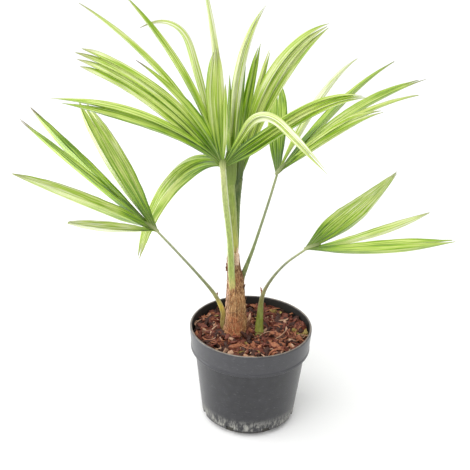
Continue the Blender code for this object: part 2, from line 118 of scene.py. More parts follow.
def grain(place, size, stretch=(1, 1, 1), detail=3, roughness=0.55):
    """Noise, 0 to 1, with lumps of the given size, drawn out along each way by its stretch."""
    scale = [1 / (size * way) for way in stretch]
    spread = add_node(place, "ShaderNodeMapping", {"Vector": place, "Scale": scale}).outputs[0]
    inputs = {"Vector": spread, "Scale": 1.0, "Detail": detail, "Roughness": roughness}
    return add_node(place, "ShaderNodeTexNoise", inputs).outputs["Fac"]


def rise(value, low, high):
    """0 at low and 1 at high, with a smooth step between them. Low may be the larger."""
    return add_node(value, "ShaderNodeMapRange", {"Value": value, "From Min": low, "From Max": high},
                    interpolation_type="SMOOTHSTEP").outputs["Result"]


def maths(operation, first, second=0.0):
    """One sum on a socket and a second socket or number."""
    return add_node(first, "ShaderNodeMath", {0: first, 1: second}, operation=operation).outputs[0]


def times(first, *others):
    """The product of a socket and other sockets or numbers."""
    for other in others:
        first = maths("MULTIPLY", first, other)
    return first


def plus(first, *others):
    """The sum of a socket and other sockets or numbers."""
    for other in others:
        first = maths("ADD", first, other)
    return first


def mixed(factor, first, second, way="MIX"):
    """The first colour, changed towards the second by the factor."""
    return add_node(factor, "ShaderNodeMix", {0: factor, 6: first, 7: second}, data_type="RGBA",
                    blend_type=way).outputs[2]


def set_input(shader, name, value):
    value.id_data.links.new(value, shader.inputs[name])


def set_looks(shader, colour, height, depth):
    """Colour the surface, and shade it as if it stood out by height times depth, in metres."""
    bump = add_node(height, "ShaderNodeBump", {"Height": height, "Distance": depth, "Strength": 1.0})
    set_input(shader, "Normal", bump.outputs["Normal"])
    set_input(shader, "Base Color", colour)


def rounded(corners, radius, steps=4):
    """A bent line with its inner corners turned to parabolas that start a radius from each."""
    line = np.array(corners, float)
    back = line[:-2] - line[1:-1]
    ahead = line[2:] - line[1:-1]
    share = np.linspace(0, 1, steps)[:, None, None]
    start = line[1:-1] + back * np.minimum(0.45, radius / np.linalg.norm(back, axis=1))[:, None]
    end = line[1:-1] + ahead * np.minimum(0.45, radius / np.linalg.norm(ahead, axis=1))[:, None]
    turned = (1 - share) ** 2 * start + 2 * share * (1 - share) * line[1:-1] + share ** 2 * end
    return np.vstack([line[:1], turned.transpose(1, 0, 2).reshape(-1, 2), line[-1:]])


def dense(line, step):
    """A bent line with even points added, so that no stretch of it is longer than step."""
    stretches = []
    for start, end in zip(line, line[1:]):
        count = int(np.ceil(max(1, np.linalg.norm(end - start) / step)))
        stretches.append(start + (end - start) * np.arange(count)[:, None] / count)
    return np.vstack(stretches + [line[-1:]])


def turned(profile, angles):
    """Carry a profile of radius and height round the upright axis: a grid (profile, angle, 3)."""
    radius = profile[:, :1]
    height = np.broadcast_to(profile[:, 1:], (len(profile), len(angles)))
    return np.stack([radius * np.cos(angles), radius * np.sin(angles), height], axis=-1)


def grid_faces(rows, columns):
    """Faces of a grid whose last column joins its first, as an array (row, column, corner)."""
    number = np.arange(rows * columns).reshape(rows, columns)
    after = np.roll(number, -1, axis=1)
    return np.stack([number[:-1], after[:-1], after[1:], number[1:]], axis=-1)


def tube_faces(rows, columns):
    """Faces of a closed tube: its side, and one face over each end."""
    first = np.arange(columns)[None, ::-1]
    last = np.arange(columns)[None] + (rows - 1) * columns
    return [grid_faces(rows, columns).reshape(-1, 4), first, last]


def add_piece(name, points, faces, material, smooth=True):
    """Put an array of points and some arrays of faces into a new mesh object at the origin."""
    mesh = bpy.data.meshes.new(name)
    mesh.from_pydata(points.reshape(-1, 3), [], [face for block in faces for face in block.tolist()])
    mesh.polygons.foreach_set("use_smooth", np.full(len(mesh.polygons), smooth))
    mesh.materials.append(material)
    piece = bpy.data.objects.new(name, mesh)
    bpy.context.scene.collection.objects.link(piece)
    return piece


def wall_radius(height):
    """Outer radius of the wall, which widens evenly from the foot's step up to the collar."""
    share = (height - FOOT_HEIGHT) / (POT_HEIGHT - COLLAR_HEIGHT - FOOT_HEIGHT)
    return WALL_FOOT_RADIUS + share * (WALL_TOP_RADIUS - WALL_FOOT_RADIUS)


collar_foot = POT_HEIGHT - COLLAR_HEIGHT
bead_top = collar_foot + BEAD_HEIGHT
ledge_top = FOOT_HEIGHT + WALL_THICKNESS
foot_inside = FOOT_RADIUS - WALL_THICKNESS
notch_outside_top = (wall_radius(NOTCH_HIGH), NOTCH_HIGH)
notch_inside_top = (wall_radius(NOTCH_HIGH) - WALL_THICKNESS, NOTCH_HIGH)

# The pot's closed profile, in five runs: below the notches, past them outside, up over the rim and
# down the inside, past the notches inside, and the floor
pot_runs = [
    rounded([(GATE_RADIUS, 0), (FOOT_RADIUS - FOOT_CHAMFER, 0), (FOOT_RADIUS, FOOT_CHAMFER),
             (FOOT_RADIUS, NOTCH_LOW)], LIP),
    rounded([(FOOT_RADIUS, NOTCH_LOW), (FOOT_RADIUS, FOOT_HEIGHT), (WALL_FOOT_RADIUS, FOOT_HEIGHT),
             notch_outside_top], LIP),
    rounded([notch_outside_top, (WALL_TOP_RADIUS, collar_foot),
             (COLLAR_FOOT_RADIUS - BEAD_DEPTH, collar_foot),
             (COLLAR_FOOT_RADIUS, collar_foot + BEAD_DEPTH), (COLLAR_FOOT_RADIUS, bead_top),
             (COLLAR_FOOT_RADIUS - BEAD_DEPTH / 2, bead_top + BEAD_DEPTH),
             (RIM_RADIUS, POT_HEIGHT - 3 * LIP), (RIM_RADIUS - LIP, POT_HEIGHT - LIP),
             (RIM_RADIUS - RIM_WIDTH / 2, POT_HEIGHT),
             (RIM_RADIUS - RIM_WIDTH + LIP / 2, POT_HEIGHT - LIP),
             (RIM_RADIUS - RIM_WIDTH, POT_HEIGHT - RIM_WIDTH),
             (COLLAR_FOOT_RADIUS - WALL_THICKNESS, collar_foot + 2.5 * WALL_THICKNESS),
             (WALL_TOP_RADIUS - WALL_THICKNESS, collar_foot + WALL_THICKNESS),
             notch_inside_top], LIP),
    rounded([notch_inside_top, (WALL_FOOT_RADIUS - WALL_THICKNESS, ledge_top),
             (foot_inside, ledge_top), (foot_inside, NOTCH_LOW)], LIP),
    rounded([(foot_inside, NOTCH_LOW), (foot_inside, FLOOR_THICKNESS),
             (GATE_RADIUS, FLOOR_THICKNESS)], LIP),
]
pot_runs = [dense(run, LONGEST_STEP) for run in pot_runs]
run_ends = np.cumsum([len(run) - 1 for run in pot_runs])
pot_profile = np.vstack([run[:-1] for run in pot_runs] + [pot_runs[-1][-1:]])

# Round the pot, each eighth has a stretch of wall, a notch and another stretch of wall
eighth = 2 * np.pi / NOTCH_COUNT
notch_half = np.arcsin(NOTCH_WIDTH / 2 / WALL_FOOT_RADIUS)
eighth_angles = np.concatenate([
    np.linspace(0, eighth / 2 - notch_half, WALL_CELLS, endpoint=False),
    np.linspace(eighth / 2 - notch_half, eighth / 2 + notch_half, NOTCH_CELLS, endpoint=False),
    np.linspace(eighth / 2 + notch_half, eighth, WALL_CELLS, endpoint=False)])
pot_angles = (eighth_angles + eighth * np.arange(NOTCH_COUNT)[:, None]).ravel()
notch_cells = np.tile(np.repeat([False, True, False], (WALL_CELLS, NOTCH_CELLS, WALL_CELLS)),
                      NOTCH_COUNT)
pot_points = turned(pot_profile, pot_angles)
pot_points[...,
           :2] *= (1
                   + WALL_WAVE / RIM_RADIUS * (pot_points[..., 2:] / POT_HEIGHT) ** 2
                   * (np.sin(3 * pot_angles)[None, :, None] - 1) / 2)

# The notches leave out their cells, and get a lintel, a sill and two jambs each
pot_cells = grid_faces(len(pot_profile), len(pot_angles))
notch_rows = np.zeros(len(pot_profile) - 1, bool)
notch_rows[run_ends[0]:run_ends[1]] = True
notch_rows[run_ends[2]:run_ends[3]] = True
columns = len(pot_angles)
cell = np.flatnonzero(notch_cells)
after_cell = (cell + 1) % columns
outside_low, outside_high, inside_high, inside_low = run_ends[:4] * columns
lintel = np.stack([inside_high + cell, inside_high + after_cell, outside_high + after_cell,
                   outside_high + cell], axis=1)
sill = np.stack([outside_low + cell, outside_low + after_cell, inside_low + after_cell,
                 inside_low + cell], axis=1)
jamb_rows = np.concatenate([np.arange(run_ends[0], run_ends[1] + 1),
                            np.arange(run_ends[2], run_ends[3] + 1)])
first_jamb = cell[::NOTCH_CELLS, None] + columns * jamb_rows[None, ::-1]
last_jamb = after_cell[NOTCH_CELLS - 1::NOTCH_CELLS, None] + columns * jamb_rows[None]
ends = tube_faces(len(pot_profile), columns)[1:]
pot_faces = [pot_cells[~(notch_rows[:, None] & notch_cells)], lintel, sill, first_jamb, last_jamb]

pot_plastic, shader, place = new_finish("pot_plastic", 0.42, specular=0.6)
x, y, height = add_node(place, "ShaderNodeSeparateXYZ", {"Vector": place}).outputs
mottle = grain(place, 9 * MM, detail=4)
fine = grain(place, 0.7 * MM, detail=2)
streaks = grain(place, 2.2 * MM, (1, 1, 5), detail=4, roughness=0.65)
colour = mixed(rise(mottle, 0.3, 0.75), paint(23, 23, 28), paint(36, 36, 41))
collar_dust = rise(height, collar_foot, bead_top)
colour = mixed(times(collar_dust, 0.3), colour, paint(84, 84, 89))
scuffs = rise(grain(place, 5 * MM, (1, 1, 0.25), detail=5), 0.6, 0.74)
colour = mixed(times(scuffs, 0.22), colour, paint(140, 140, 142))
foot_stain = rise(height, FOOT_HEIGHT + 1 * MM, FOOT_HEIGHT - 1 * MM)
colour = mixed(times(foot_stain, 0.8), colour, paint(60, 58, 46))
lime = times(rise(plus(height, times(streaks, 24 * MM)), *LIME_UP_TO), rise(height, *LIME_FROM),
             rise(streaks, 0.38, 0.62), rise(mottle, 0.32, 0.56))
colour = mixed(times(lime, 0.62), colour, paint(188, 187, 178))
rim_wear = rise(plus(height, times(mottle, 1.6 * MM)), POT_HEIGHT - 0.4 * MM, POT_HEIGHT + 1 * MM)
colour = mixed(times(rim_wear, 0.75), colour, paint(150, 138, 124))
out_radius = maths("SQRT", plus(times(x, x), times(y, y)))
inside = times(rise(out_radius, *INSIDE_RADIUS),
               rise(height, POT_HEIGHT - 0.4 * MM, POT_HEIGHT - 2 * MM),
               rise(height, bead_top, bead_top + BEAD_HEIGHT))
colour = mixed(inside, colour, paint(24, 22, 18))
roughness = plus(times(mottle, 0.2), times(lime, 0.4), times(inside, 0.35), 0.22)
set_input(shader, "Roughness", roughness)
set_looks(shader, colour, plus(fine, times(lime, 1.5)), 0.05 * MM)

pot = add_piece("nursery_pot", pot_points, pot_faces + ends, pot_plastic)
pot.data.set_sharp_from_angle(angle=np.radians(40))
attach(pot, "root")
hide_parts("pot")


# The root ball
# Bark and peat that fill the pot, held together by the roots. Its rough top, level at the stems and
# a little lower at the wall, shows as the dark ground between the chips of bark.
GROUND = 121 * MM
BALL_GAP = 0.3 * MM
BALL_EDGE_GAP = 1.4 * MM
BALL_EDGE_HEIGHT = 117 * MM
BALL_TOP = 119 * MM
BALL_COLUMNS = 160
BALL_RINGS = 60
BALL_LUMP = 1.3 * MM


def waves(places, length, seed, count=24):
    """Smooth seeded relief, about -1 to 1: the sum of sines along many ways, near one length."""
    random = np.random.default_rng(seed)
    ways = random.normal(size=(places.shape[-1], count))
    ways *= 2 * np.pi / length * random.uniform(0.6, 1.6, count) / np.linalg.norm(ways, axis=0)
    phases = random.uniform(0, 2 * np.pi, count)
    return np.sin(places @ ways + phases).sum(axis=-1) / np.sqrt(count)


inner_edge = RIM_RADIUS - RIM_WIDTH - BALL_EDGE_GAP
ball_side = rounded([
    (GATE_RADIUS, FLOOR_THICKNESS + BALL_GAP),
    (foot_inside - BALL_GAP, FLOOR_THICKNESS + BALL_GAP),
    (foot_inside - BALL_GAP, ledge_top + BALL_GAP),
    (WALL_FOOT_RADIUS - WALL_THICKNESS - BALL_GAP, ledge_top + BALL_GAP),
    (WALL_TOP_RADIUS - WALL_THICKNESS - BALL_GAP, collar_foot + WALL_THICKNESS),
    (COLLAR_FOOT_RADIUS - WALL_THICKNESS - BALL_GAP, collar_foot + 2.5 * WALL_THICKNESS),
    (inner_edge, BALL_EDGE_HEIGHT)], LIP)
ring_radii = np.linspace(inner_edge, GATE_RADIUS, BALL_RINGS)[1:]
ring_heights = BALL_TOP - (BALL_TOP - BALL_EDGE_HEIGHT) * (ring_radii / inner_edge) ** 4
ball_profile = np.vstack([ball_side, np.stack([ring_radii, ring_heights], axis=1)])
ball_points = turned(ball_profile, np.linspace(0, 2 * np.pi, BALL_COLUMNS, endpoint=False))
ball_top = ball_points[len(ball_side):]
ball_top[...,
         2] += BALL_LUMP * (waves(ball_top[..., :2], 9 * MM, 1)
                            + 0.4 * waves(ball_top[..., :2], 3 * MM, 2))

peat, shader, place = new_finish("damp_peat", 0.85, specular=0.3)
crumbs = grain(place, 1.6 * MM, detail=5, roughness=0.7)
colour = mixed(rise(crumbs, 0.35, 0.75), paint(26, 14, 10), paint(66, 38, 28))
set_looks(shader, colour, crumbs, 0.8 * MM)

root_ball = add_piece("root_ball", ball_points, tube_faces(len(ball_profile), BALL_COLUMNS), peat)
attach(root_ball, "root")
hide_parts("mulch")


# The bark mulch
# Chipped conifer bark, strewn by hand over the root ball: flat angular chips of a few colours, a
# little pale sapwood and moss among them, and long torn strips of reddish inner bark.
CHIP_COUNT = 900
CHIP_REACH = 72.5 * MM
CHIP_LENGTH = (8 * MM, 22 * MM)
CHIP_SIDES = 6
CHIP_TILT = 32
CHIP_RISE = 6 * MM
WALL_INSIDE = 75.6 * MM
TRUNK_ROOM = 13 * MM
HEAP_RISE = 4 * MM
HEAP_RADIUS = 19 * MM
HEAP_SPREAD = 8 * MM
GOLDEN_ANGLE = np.pi * (3 - np.sqrt(5))
CHIP_STALK_ROOM = 6 * MM
TRUNK_FOOT = np.array([-21, -4]) * MM
STALK_FOOT = np.array([11, -3]) * MM
# Two mossy spots, each a place and a reach in millimetres
MOSSY_SPOTS = (((36, 52), 8.5), ((60, 9), 4))
BARK_COLOURS = {
    "dark": (paint(34, 16, 10), paint(90, 46, 32)),
    "red": (paint(68, 26, 18), paint(156, 84, 60)),
    "orange": (paint(114, 56, 32), paint(216, 146, 106)),
    "pale": (paint(166, 122, 96), paint(222, 186, 156)),
    "mossy": (paint(132, 112, 52), paint(196, 172, 104)),
}
BARK_SHARES = (0.38, 0.42, 0.13, 0.05, 0.02)


def repeated(faces, count):
    """One shape's faces, numbered for each of count copies that follow one another."""
    stride = 1 + max(block.max() for block in faces)
    step = stride * np.arange(count)[:, None, None]
    return [(block + step).reshape(-1, block.shape[1]) for block in faces]


def chip_shape():
    """A unit lump as three rings between two poles: its points, and its faces turned outwards."""
    angles = np.linspace(0, 2 * np.pi, CHIP_SIDES, endpoint=False)
    ring_height = np.array([-0.6, 0.05, 0.62])[:, None]
    ring_size = np.array([0.8, 1.0, 0.76])[:, None]
    rings = np.stack([ring_size * np.cos(angles), ring_size * np.sin(angles),
                      ring_height + 0 * angles], axis=-1).reshape(-1, 3)
    points = np.vstack([rings, [(0, 0, -1), (0, 0, 1)]])
    number = np.arange(CHIP_SIDES)
    after = np.roll(number, -1)
    low_pole = np.stack([np.full(CHIP_SIDES, len(rings)), after, number], axis=1)
    top = 2 * CHIP_SIDES
    high_pole = np.stack([np.full(CHIP_SIDES, len(rings) + 1), top + number, top + after], axis=1)
    return points, [grid_faces(3, CHIP_SIDES).reshape(-1, 4), low_pole, high_pole]


def spun(points, yaw, pitch, roll):
    """Turn each copy's points (copy, point, 3) about X by roll, Y by pitch, then Z by yaw."""
    x, y, z = np.moveaxis(points, -1, 0)
    y, z = y * np.cos(roll) - z * np.sin(roll), y * np.sin(roll) + z * np.cos(roll)
    x, z = x * np.cos(pitch) + z * np.sin(pitch), z * np.cos(pitch) - x * np.sin(pitch)
    x, y = x * np.cos(yaw) - y * np.sin(yaw), x * np.sin(yaw) + y * np.cos(yaw)
    return np.stack([x, y, z], axis=-1)


def strewn(random, count, reach, stalk_room):
    """Places on the mulch, clear of the trunk and of the stalk that stands beside it.

    They lie in a sunflower spiral, each moved a little at random.
    """
    number = np.arange(count) + 0.5
    radius = reach * np.sqrt(number / count)
    turn = number * GOLDEN_ANGLE
    spots = np.stack([radius * np.cos(turn), radius * np.sin(turn)], axis=1)
    spots = spots + random.uniform(-2, 2, (count, 2)) * MM
    clear = np.linalg.norm(spots - TRUNK_FOOT, axis=1) > TRUNK_ROOM
    return spots[clear & (np.linalg.norm(spots - STALK_FOOT, axis=1) > stalk_room)]


def kept_inside(points):
    """Draw points that would reach into the pot's wall back to its inner side."""
    radius = np.linalg.norm(points[..., :2], axis=-1, keepdims=True)
    points[..., :2] *= np.minimum(1, WALL_INSIDE / np.maximum(radius, MM))
    return points


random = np.random.default_rng(11)
spots = strewn(random, CHIP_COUNT, CHIP_REACH, CHIP_STALK_ROOM)
count = len(spots)
unit_chip, chip_faces = chip_shape()
length = random.uniform(*CHIP_LENGTH, count) * random.uniform(0.7, 1, count)
size = np.stack([length, length * random.uniform(0.3, 0.66, count),
                 length * random.uniform(0.18, 0.36, count)], axis=1) / 2
chips = unit_chip * random.uniform(0.72, 1.18, (count, len(unit_chip), 1))
chips = chips + random.normal(0, 0.07, chips.shape)
chips[..., 2] += random.uniform(-0.5, 0.5, (count, 1)) * chips[..., 0] ** 2
tilt = np.radians(random.normal(0, CHIP_TILT, (2, count, 1)))
chips = spun(chips * size[:, None], random.uniform(0, 2 * np.pi, (count, 1)), tilt[0], tilt[1])
level = GROUND - 1.5 * MM + CHIP_RISE * random.uniform(0, 1, count) ** 1.3
from_trunk = np.linalg.norm(spots - TRUNK_FOOT, axis=1)
level = level + HEAP_RISE * np.exp(-((from_trunk - HEAP_RADIUS) / HEAP_SPREAD) ** 2)
chips[..., :2] += spots[:, None]
chips[..., 2] += level[:, None]
chips = kept_inside(chips)
kind = random.choice(len(BARK_SHARES), count, p=BARK_SHARES)
for middle, reach in MOSSY_SPOTS:
    near = np.linalg.norm(spots / MM - middle, axis=1) < reach
    kind[near] = list(BARK_COLOURS).index("mossy")

bark_finishes = {}
for name, (dark, light) in BARK_COLOURS.items():
    bark, shader, place = new_finish(f"bark_{name}", 0.55, specular=0.45)
    fibres = grain(place, 0.9 * MM, (1, 1, 0.4), detail=4, roughness=0.7)
    patches = grain(place, 6 * MM, detail=2)
    colour = mixed(rise(fibres, 0.32, 0.7), dark, light)
    colour = mixed(times(rise(patches, 0.35, 0.7), 0.45), colour, dark)
    set_looks(shader, colour, fibres, 0.5 * MM)
    bark_finishes[name] = bark

for number, name in enumerate(BARK_COLOURS):
    lot = chips[kind == number]
    chip_lot = add_piece(f"bark_chips_{name}", lot, repeated(chip_faces, len(lot)),
                         bark_finishes[name], smooth=False)
    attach(chip_lot, "root")

# Torn strips of inner bark, curled over the chips
STRIP_COUNT = 240
STRIP_LENGTH = (12 * MM, 34 * MM)
STRIP_WIDTH = (0.5 * MM, 1.5 * MM)
STRIP_STATIONS = 9
STRIP_SIDES = 5
STRIP_REACH = CHIP_REACH - 4 * MM
STRIP_STALK_ROOM = 8 * MM


def unit(vectors):
    """Vectors of length 1 along the last axis."""
    return vectors / np.linalg.norm(vectors, axis=-1, keepdims=True)


def strands(paths, radii, flatness, facing, sides):
    """Carry a flat oval along many paths at once: points (strand, station, side, 3).

    paths is (strand, station, 3) and radii (strand, station) the oval's half width. Its wide way
    is square to the path and to facing, one vector a strand, and it is flatness times as deep.
    """
    along = unit(np.gradient(paths, axis=1))
    side = unit(np.cross(along, facing[:, None]))
    depth = np.cross(along, side)
    angles = np.linspace(0, 2 * np.pi, sides, endpoint=False)[:, None]
    oval = np.cos(angles) * side[:, :, None] + flatness * np.sin(angles) * depth[:, :, None]
    return paths[:, :, None] + radii[:, :, None, None] * oval


spots = strewn(random, STRIP_COUNT, STRIP_REACH, STRIP_STALK_ROOM)
count = len(spots)
share = np.linspace(-0.5, 0.5, STRIP_STATIONS)
length = random.uniform(*STRIP_LENGTH, (count, 1))
curl = random.uniform(-2.6, 2.6, (count, 1))
heading = random.uniform(0, 2 * np.pi, (count, 1)) + curl * share
step = length / (STRIP_STATIONS - 1)
strip_x = spots[:, :1] + np.cumsum(np.cos(heading) * step, axis=1)
strip_y = spots[:, 1:] + np.cumsum(np.sin(heading) * step, axis=1)
strip_z = GROUND + random.uniform(2, 6, (count, 1)) * MM
strip_z = strip_z + length * (random.uniform(-0.1, 0.1, (count, 1)) * share
                              + random.uniform(-0.28, 0.05, (count, 1)) * share ** 2)
radii = random.uniform(*STRIP_WIDTH, (count, 1)) * (1 - (2 * share) ** 4 * 0.7)
facing = random.normal(0, 0.4, (count, 3)) + (0, 0, 1)
strips = strands(np.stack([strip_x, strip_y, strip_z], axis=-1), radii, 0.4, facing, STRIP_SIDES)
strips = kept_inside(strips)
kind = random.choice(3, count, p=(0.5, 0.34, 0.16))
for number, name in enumerate(("red", "orange", "pale")):
    lot = strips[kind == number]
    strip_lot = add_piece(f"bark_strips_{name}", lot,
                          repeated(tube_faces(STRIP_STATIONS, STRIP_SIDES), len(lot)),
                          bark_finishes[name])
    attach(strip_lot, "root")


# The trunk
# A short stem wrapped in the sheaths of old leaves, whose flesh has dried to brown fibre. Each
# sheath ends in a ragged lip that the next one grows out of, and the foot swells over the roots.
TRUNK_RINGS = np.array([
    (-21, -4, 121.3, 17), (-21, -4, 128, 16), (-20.8, -3.8, 138, 14.8), (-20.6, -3.2, 155, 13.4),
    (-21, -2.2, 186, 11.5), (-21.8, -1.4, 201, 10.3), (-24.4, -0.8, 215, 8.7),
    (-25.8, -0.2, 228, 7.7), (-26.2, 0.4, 240, 7.2)]) * MM
TRUNK_RIDGE = 0.035
TRUNK_RIDGES = 5
TRUNK_RIDGE_TWIST = 60
TRUNK_ROWS = 170
TRUNK_COLUMNS = 220
FIBRE_DEPTH = 0.1 * MM
CORD_DEPTH = 0.2 * MM
LIP_PITCH = 30 * MM
LIP_DEPTH = 0.5 * MM
FOOT_LUMP = 0.8 * MM
SHOULDER = 5 * MM


def blend(first, second, share):
    """Colours between two, by a share for each point."""
    share = np.clip(share, 0, 1)[..., None]
    return np.array(first) * (1 - share) + np.array(second) * share


def towards(angles, degrees, spread):
    """1 on the side of the trunk that faces the bearing, and 0 beyond a spread in degrees."""
    away = np.abs((np.degrees(angles) - degrees + 180) % 360 - 180)
    return np.clip(1.5 - 1.5 * away / spread, 0, 1)


def hump(values, low, high, soft):
    """1 between low and high, falling to 0 over soft beyond them."""
    return np.clip(np.minimum(values - low, high - values) / soft + 1, 0, 1)


def set_points(piece, name, values, kind="FLOAT", field="value"):
    """Give each point of a piece a value of its own, for its finish to read."""
    layer = piece.data.attributes.new(name, kind, "POINT")
    layer.data.foreach_set(field, np.ascontiguousarray(values, dtype=np.float32).ravel())


def set_tint(piece, colours):
    """Give each point of a piece its own base colour."""
    set_points(piece, "tint", colours, "FLOAT_COLOR", "color")


def point_value(place, name, kind="Fac"):
    """A value that the points of a piece carry, as a socket."""
    return add_node(place, "ShaderNodeAttribute", {}, attribute_name=name).outputs[kind]


def trunk_surface(level, angles):
    """The trunk's middle, its smooth radius and the way out of it, at heights and angles round it."""
    spine = [np.interp(level, TRUNK_RINGS[:, 2], TRUNK_RINGS[:, column]) for column in range(4)]
    centre = np.stack([spine[0] + 0 * angles, spine[1] + 0 * angles, level + 0 * angles], axis=-1)
    ridge = np.sin(TRUNK_RIDGES * angles + TRUNK_RIDGE_TWIST * level)
    out = np.stack([np.cos(angles), np.sin(angles), 0 * angles], axis=-1)
    return centre, spine[3] * (1 + TRUNK_RIDGE * ridge), out


angles = np.linspace(0, 2 * np.pi, TRUNK_COLUMNS, endpoint=False)[None]
trunk_low, trunk_high = TRUNK_RINGS[0, 2], TRUNK_RINGS[-1, 2]
level = np.linspace(trunk_low, trunk_high, TRUNK_ROWS)[:, None]
centre, radius, round_way = trunk_surface(level, angles)
smooth = centre + radius[..., None] * round_way
strung = smooth * (1, 1, 0.09)
cords = waves(strung, 3.2 * MM, 21)
threads = waves(strung, 1.25 * MM, 22)
wobble = waves(smooth * (1, 1, 0.4), 12 * MM, 23)
lip = (smooth[..., 2] / LIP_PITCH + angles / (2 * np.pi) + 0.16 * wobble) % 1
knobs = waves(smooth, 5 * MM, 24) * hump(level, trunk_low, trunk_low, 26 * MM)
relief = (CORD_DEPTH * cords + FIBRE_DEPTH * threads + FOOT_LUMP * knobs
          + LIP_DEPTH * (lip ** 2 - 0.5))
to_top = np.clip(1 - (trunk_high - level) / SHOULDER, 0, 1)
relief = relief - radius * (1 - np.sqrt(1 - 0.75 * to_top ** 2))
trunk_points = centre + (radius + relief)[..., None] * round_way

# Its colours: golden straw with brown cords, pale pinkish painted light on its left side, a papery
# patch near the top, a fox-red foot, and flesh that turns yellow-green where the last stalks leave it
height = smooth[..., 2] / MM
colours = blend(paint(214, 176, 122), paint(170, 122, 74), 0.4 + 0.45 * cords)
colours = blend(colours, paint(128, 82, 48), 0.2 + 0.4 * threads - 0.25 * lip)
# Painted light: the side that faces the left panel is painted pale pinkish from partway up to the top
lit_left_side = towards(angles, 190, 46) * hump(height, 150, 262, 22) * (0.8 + 0.3 * cords)
colours = blend(colours, paint(224, 190, 168), lit_left_side)
living = np.clip((height - 226 - 5 * wobble) / 7, 0, 1)
colours = blend(colours, paint(196, 180, 108), living)
papery = towards(angles, 285, 52) * hump(height, 226, 244, 7) * (0.85 + 0.5 * cords)
colours = blend(colours, paint(246, 224, 196), papery)
foxy = towards(angles, 268, 70) * hump(height, 122, 152, 10) * (0.6 + 0.5 * knobs)
colours = blend(colours, paint(172, 88, 52), foxy)
shaded = hump(height, 0, 126, 8) * (0.4 + 0.5 * wobble)
colours = blend(colours, paint(84, 44, 30), shaded)
dark_side = towards(angles, 330, 60) * hump(height, 192, 224, 10) * (0.45 + 0.5 * threads)
colours = blend(colours, paint(104, 60, 36), dark_side)

sheath, shader, place = new_finish("sheath_fibre", 0.7, specular=0.35)
tint = point_value(place, "tint", "Color")
hairs = grain(place, 0.5 * MM, (1, 1, 14), detail=4, roughness=0.7)
weave = grain(place, 2.4 * MM, (1, 1, 0.5), detail=3)
colour = mixed(rise(hairs, 0.6, 0.34), tint, paint(164, 128, 98), "MULTIPLY")
colour = mixed(times(rise(hairs, 0.5, 0.7), 0.5), colour, paint(236, 206, 160))
colour = mixed(times(rise(weave, 0.55, 0.75), 0.25), colour, paint(146, 92, 56))
set_looks(shader, colour, hairs, 0.22 * MM)

trunk = add_piece("trunk_sheaths", trunk_points, tube_faces(TRUNK_ROWS, TRUNK_COLUMNS), sheath)
set_tint(trunk, colours)
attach(trunk, "root")
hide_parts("trunk")

# Loose fibres of the sheaths: most lie up the trunk, some cross it, and a few stand away from it
FIBRE_COUNT = 300
FIBRE_STATIONS = 10
FIBRE_SIDES = 4
fibre_height = trunk_low + random.uniform(0.03, 0.82, (FIBRE_COUNT, 1)) * (trunk_high - trunk_low)
fibre_length = random.uniform(8, 34, (FIBRE_COUNT, 1)) * MM
crossing = random.random((FIBRE_COUNT, 1)) < 0.3
lean = np.where(crossing, random.normal(0, 1.1, (FIBRE_COUNT, 1)),
                random.normal(0, 0.22, (FIBRE_COUNT, 1)))
start_angle = random.uniform(0, 2 * np.pi, (FIBRE_COUNT, 1))
share = np.linspace(0, 1, FIBRE_STATIONS)
level = fibre_height + fibre_length * np.cos(lean) * share
level = np.clip(level, trunk_low + MM, trunk_high - SHOULDER)
angle = start_angle + fibre_length * np.sin(lean) * share / TRUNK_RINGS[4, 3]
angle = angle + 0.05 * np.sin(share * 9 + start_angle)
away = np.where(random.random((FIBRE_COUNT, 1)) < 0.16, random.uniform(0.5, 3.4, (FIBRE_COUNT, 1)),
                0.2)
centre, radius, round_way = trunk_surface(level, angle)
paths = centre + (radius + (0.15 + away * share ** 2) * MM)[..., None] * round_way
radii = random.uniform(0.12, 0.3, (FIBRE_COUNT, 1)) * MM * (1 - 0.7 * share ** 3)
facing = np.stack([np.cos(start_angle), np.sin(start_angle), 0 * start_angle], -1)[:, 0]
fibres = strands(paths, radii, 0.7, facing, FIBRE_SIDES)
fibre_tints = random.choice(np.array([paint(122, 78, 46), paint(160, 112, 66), paint(206, 170, 120),
                                      paint(84, 48, 30)]), FIBRE_COUNT, p=(0.3, 0.34, 0.24, 0.12))

loose = add_piece("sheath_fibres", fibres,
                  repeated(tube_faces(FIBRE_STATIONS, FIBRE_SIDES), FIBRE_COUNT), sheath)
set_tint(loose, np.repeat(fibre_tints, FIBRE_STATIONS * FIBRE_SIDES, axis=0))
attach(loose, "root")

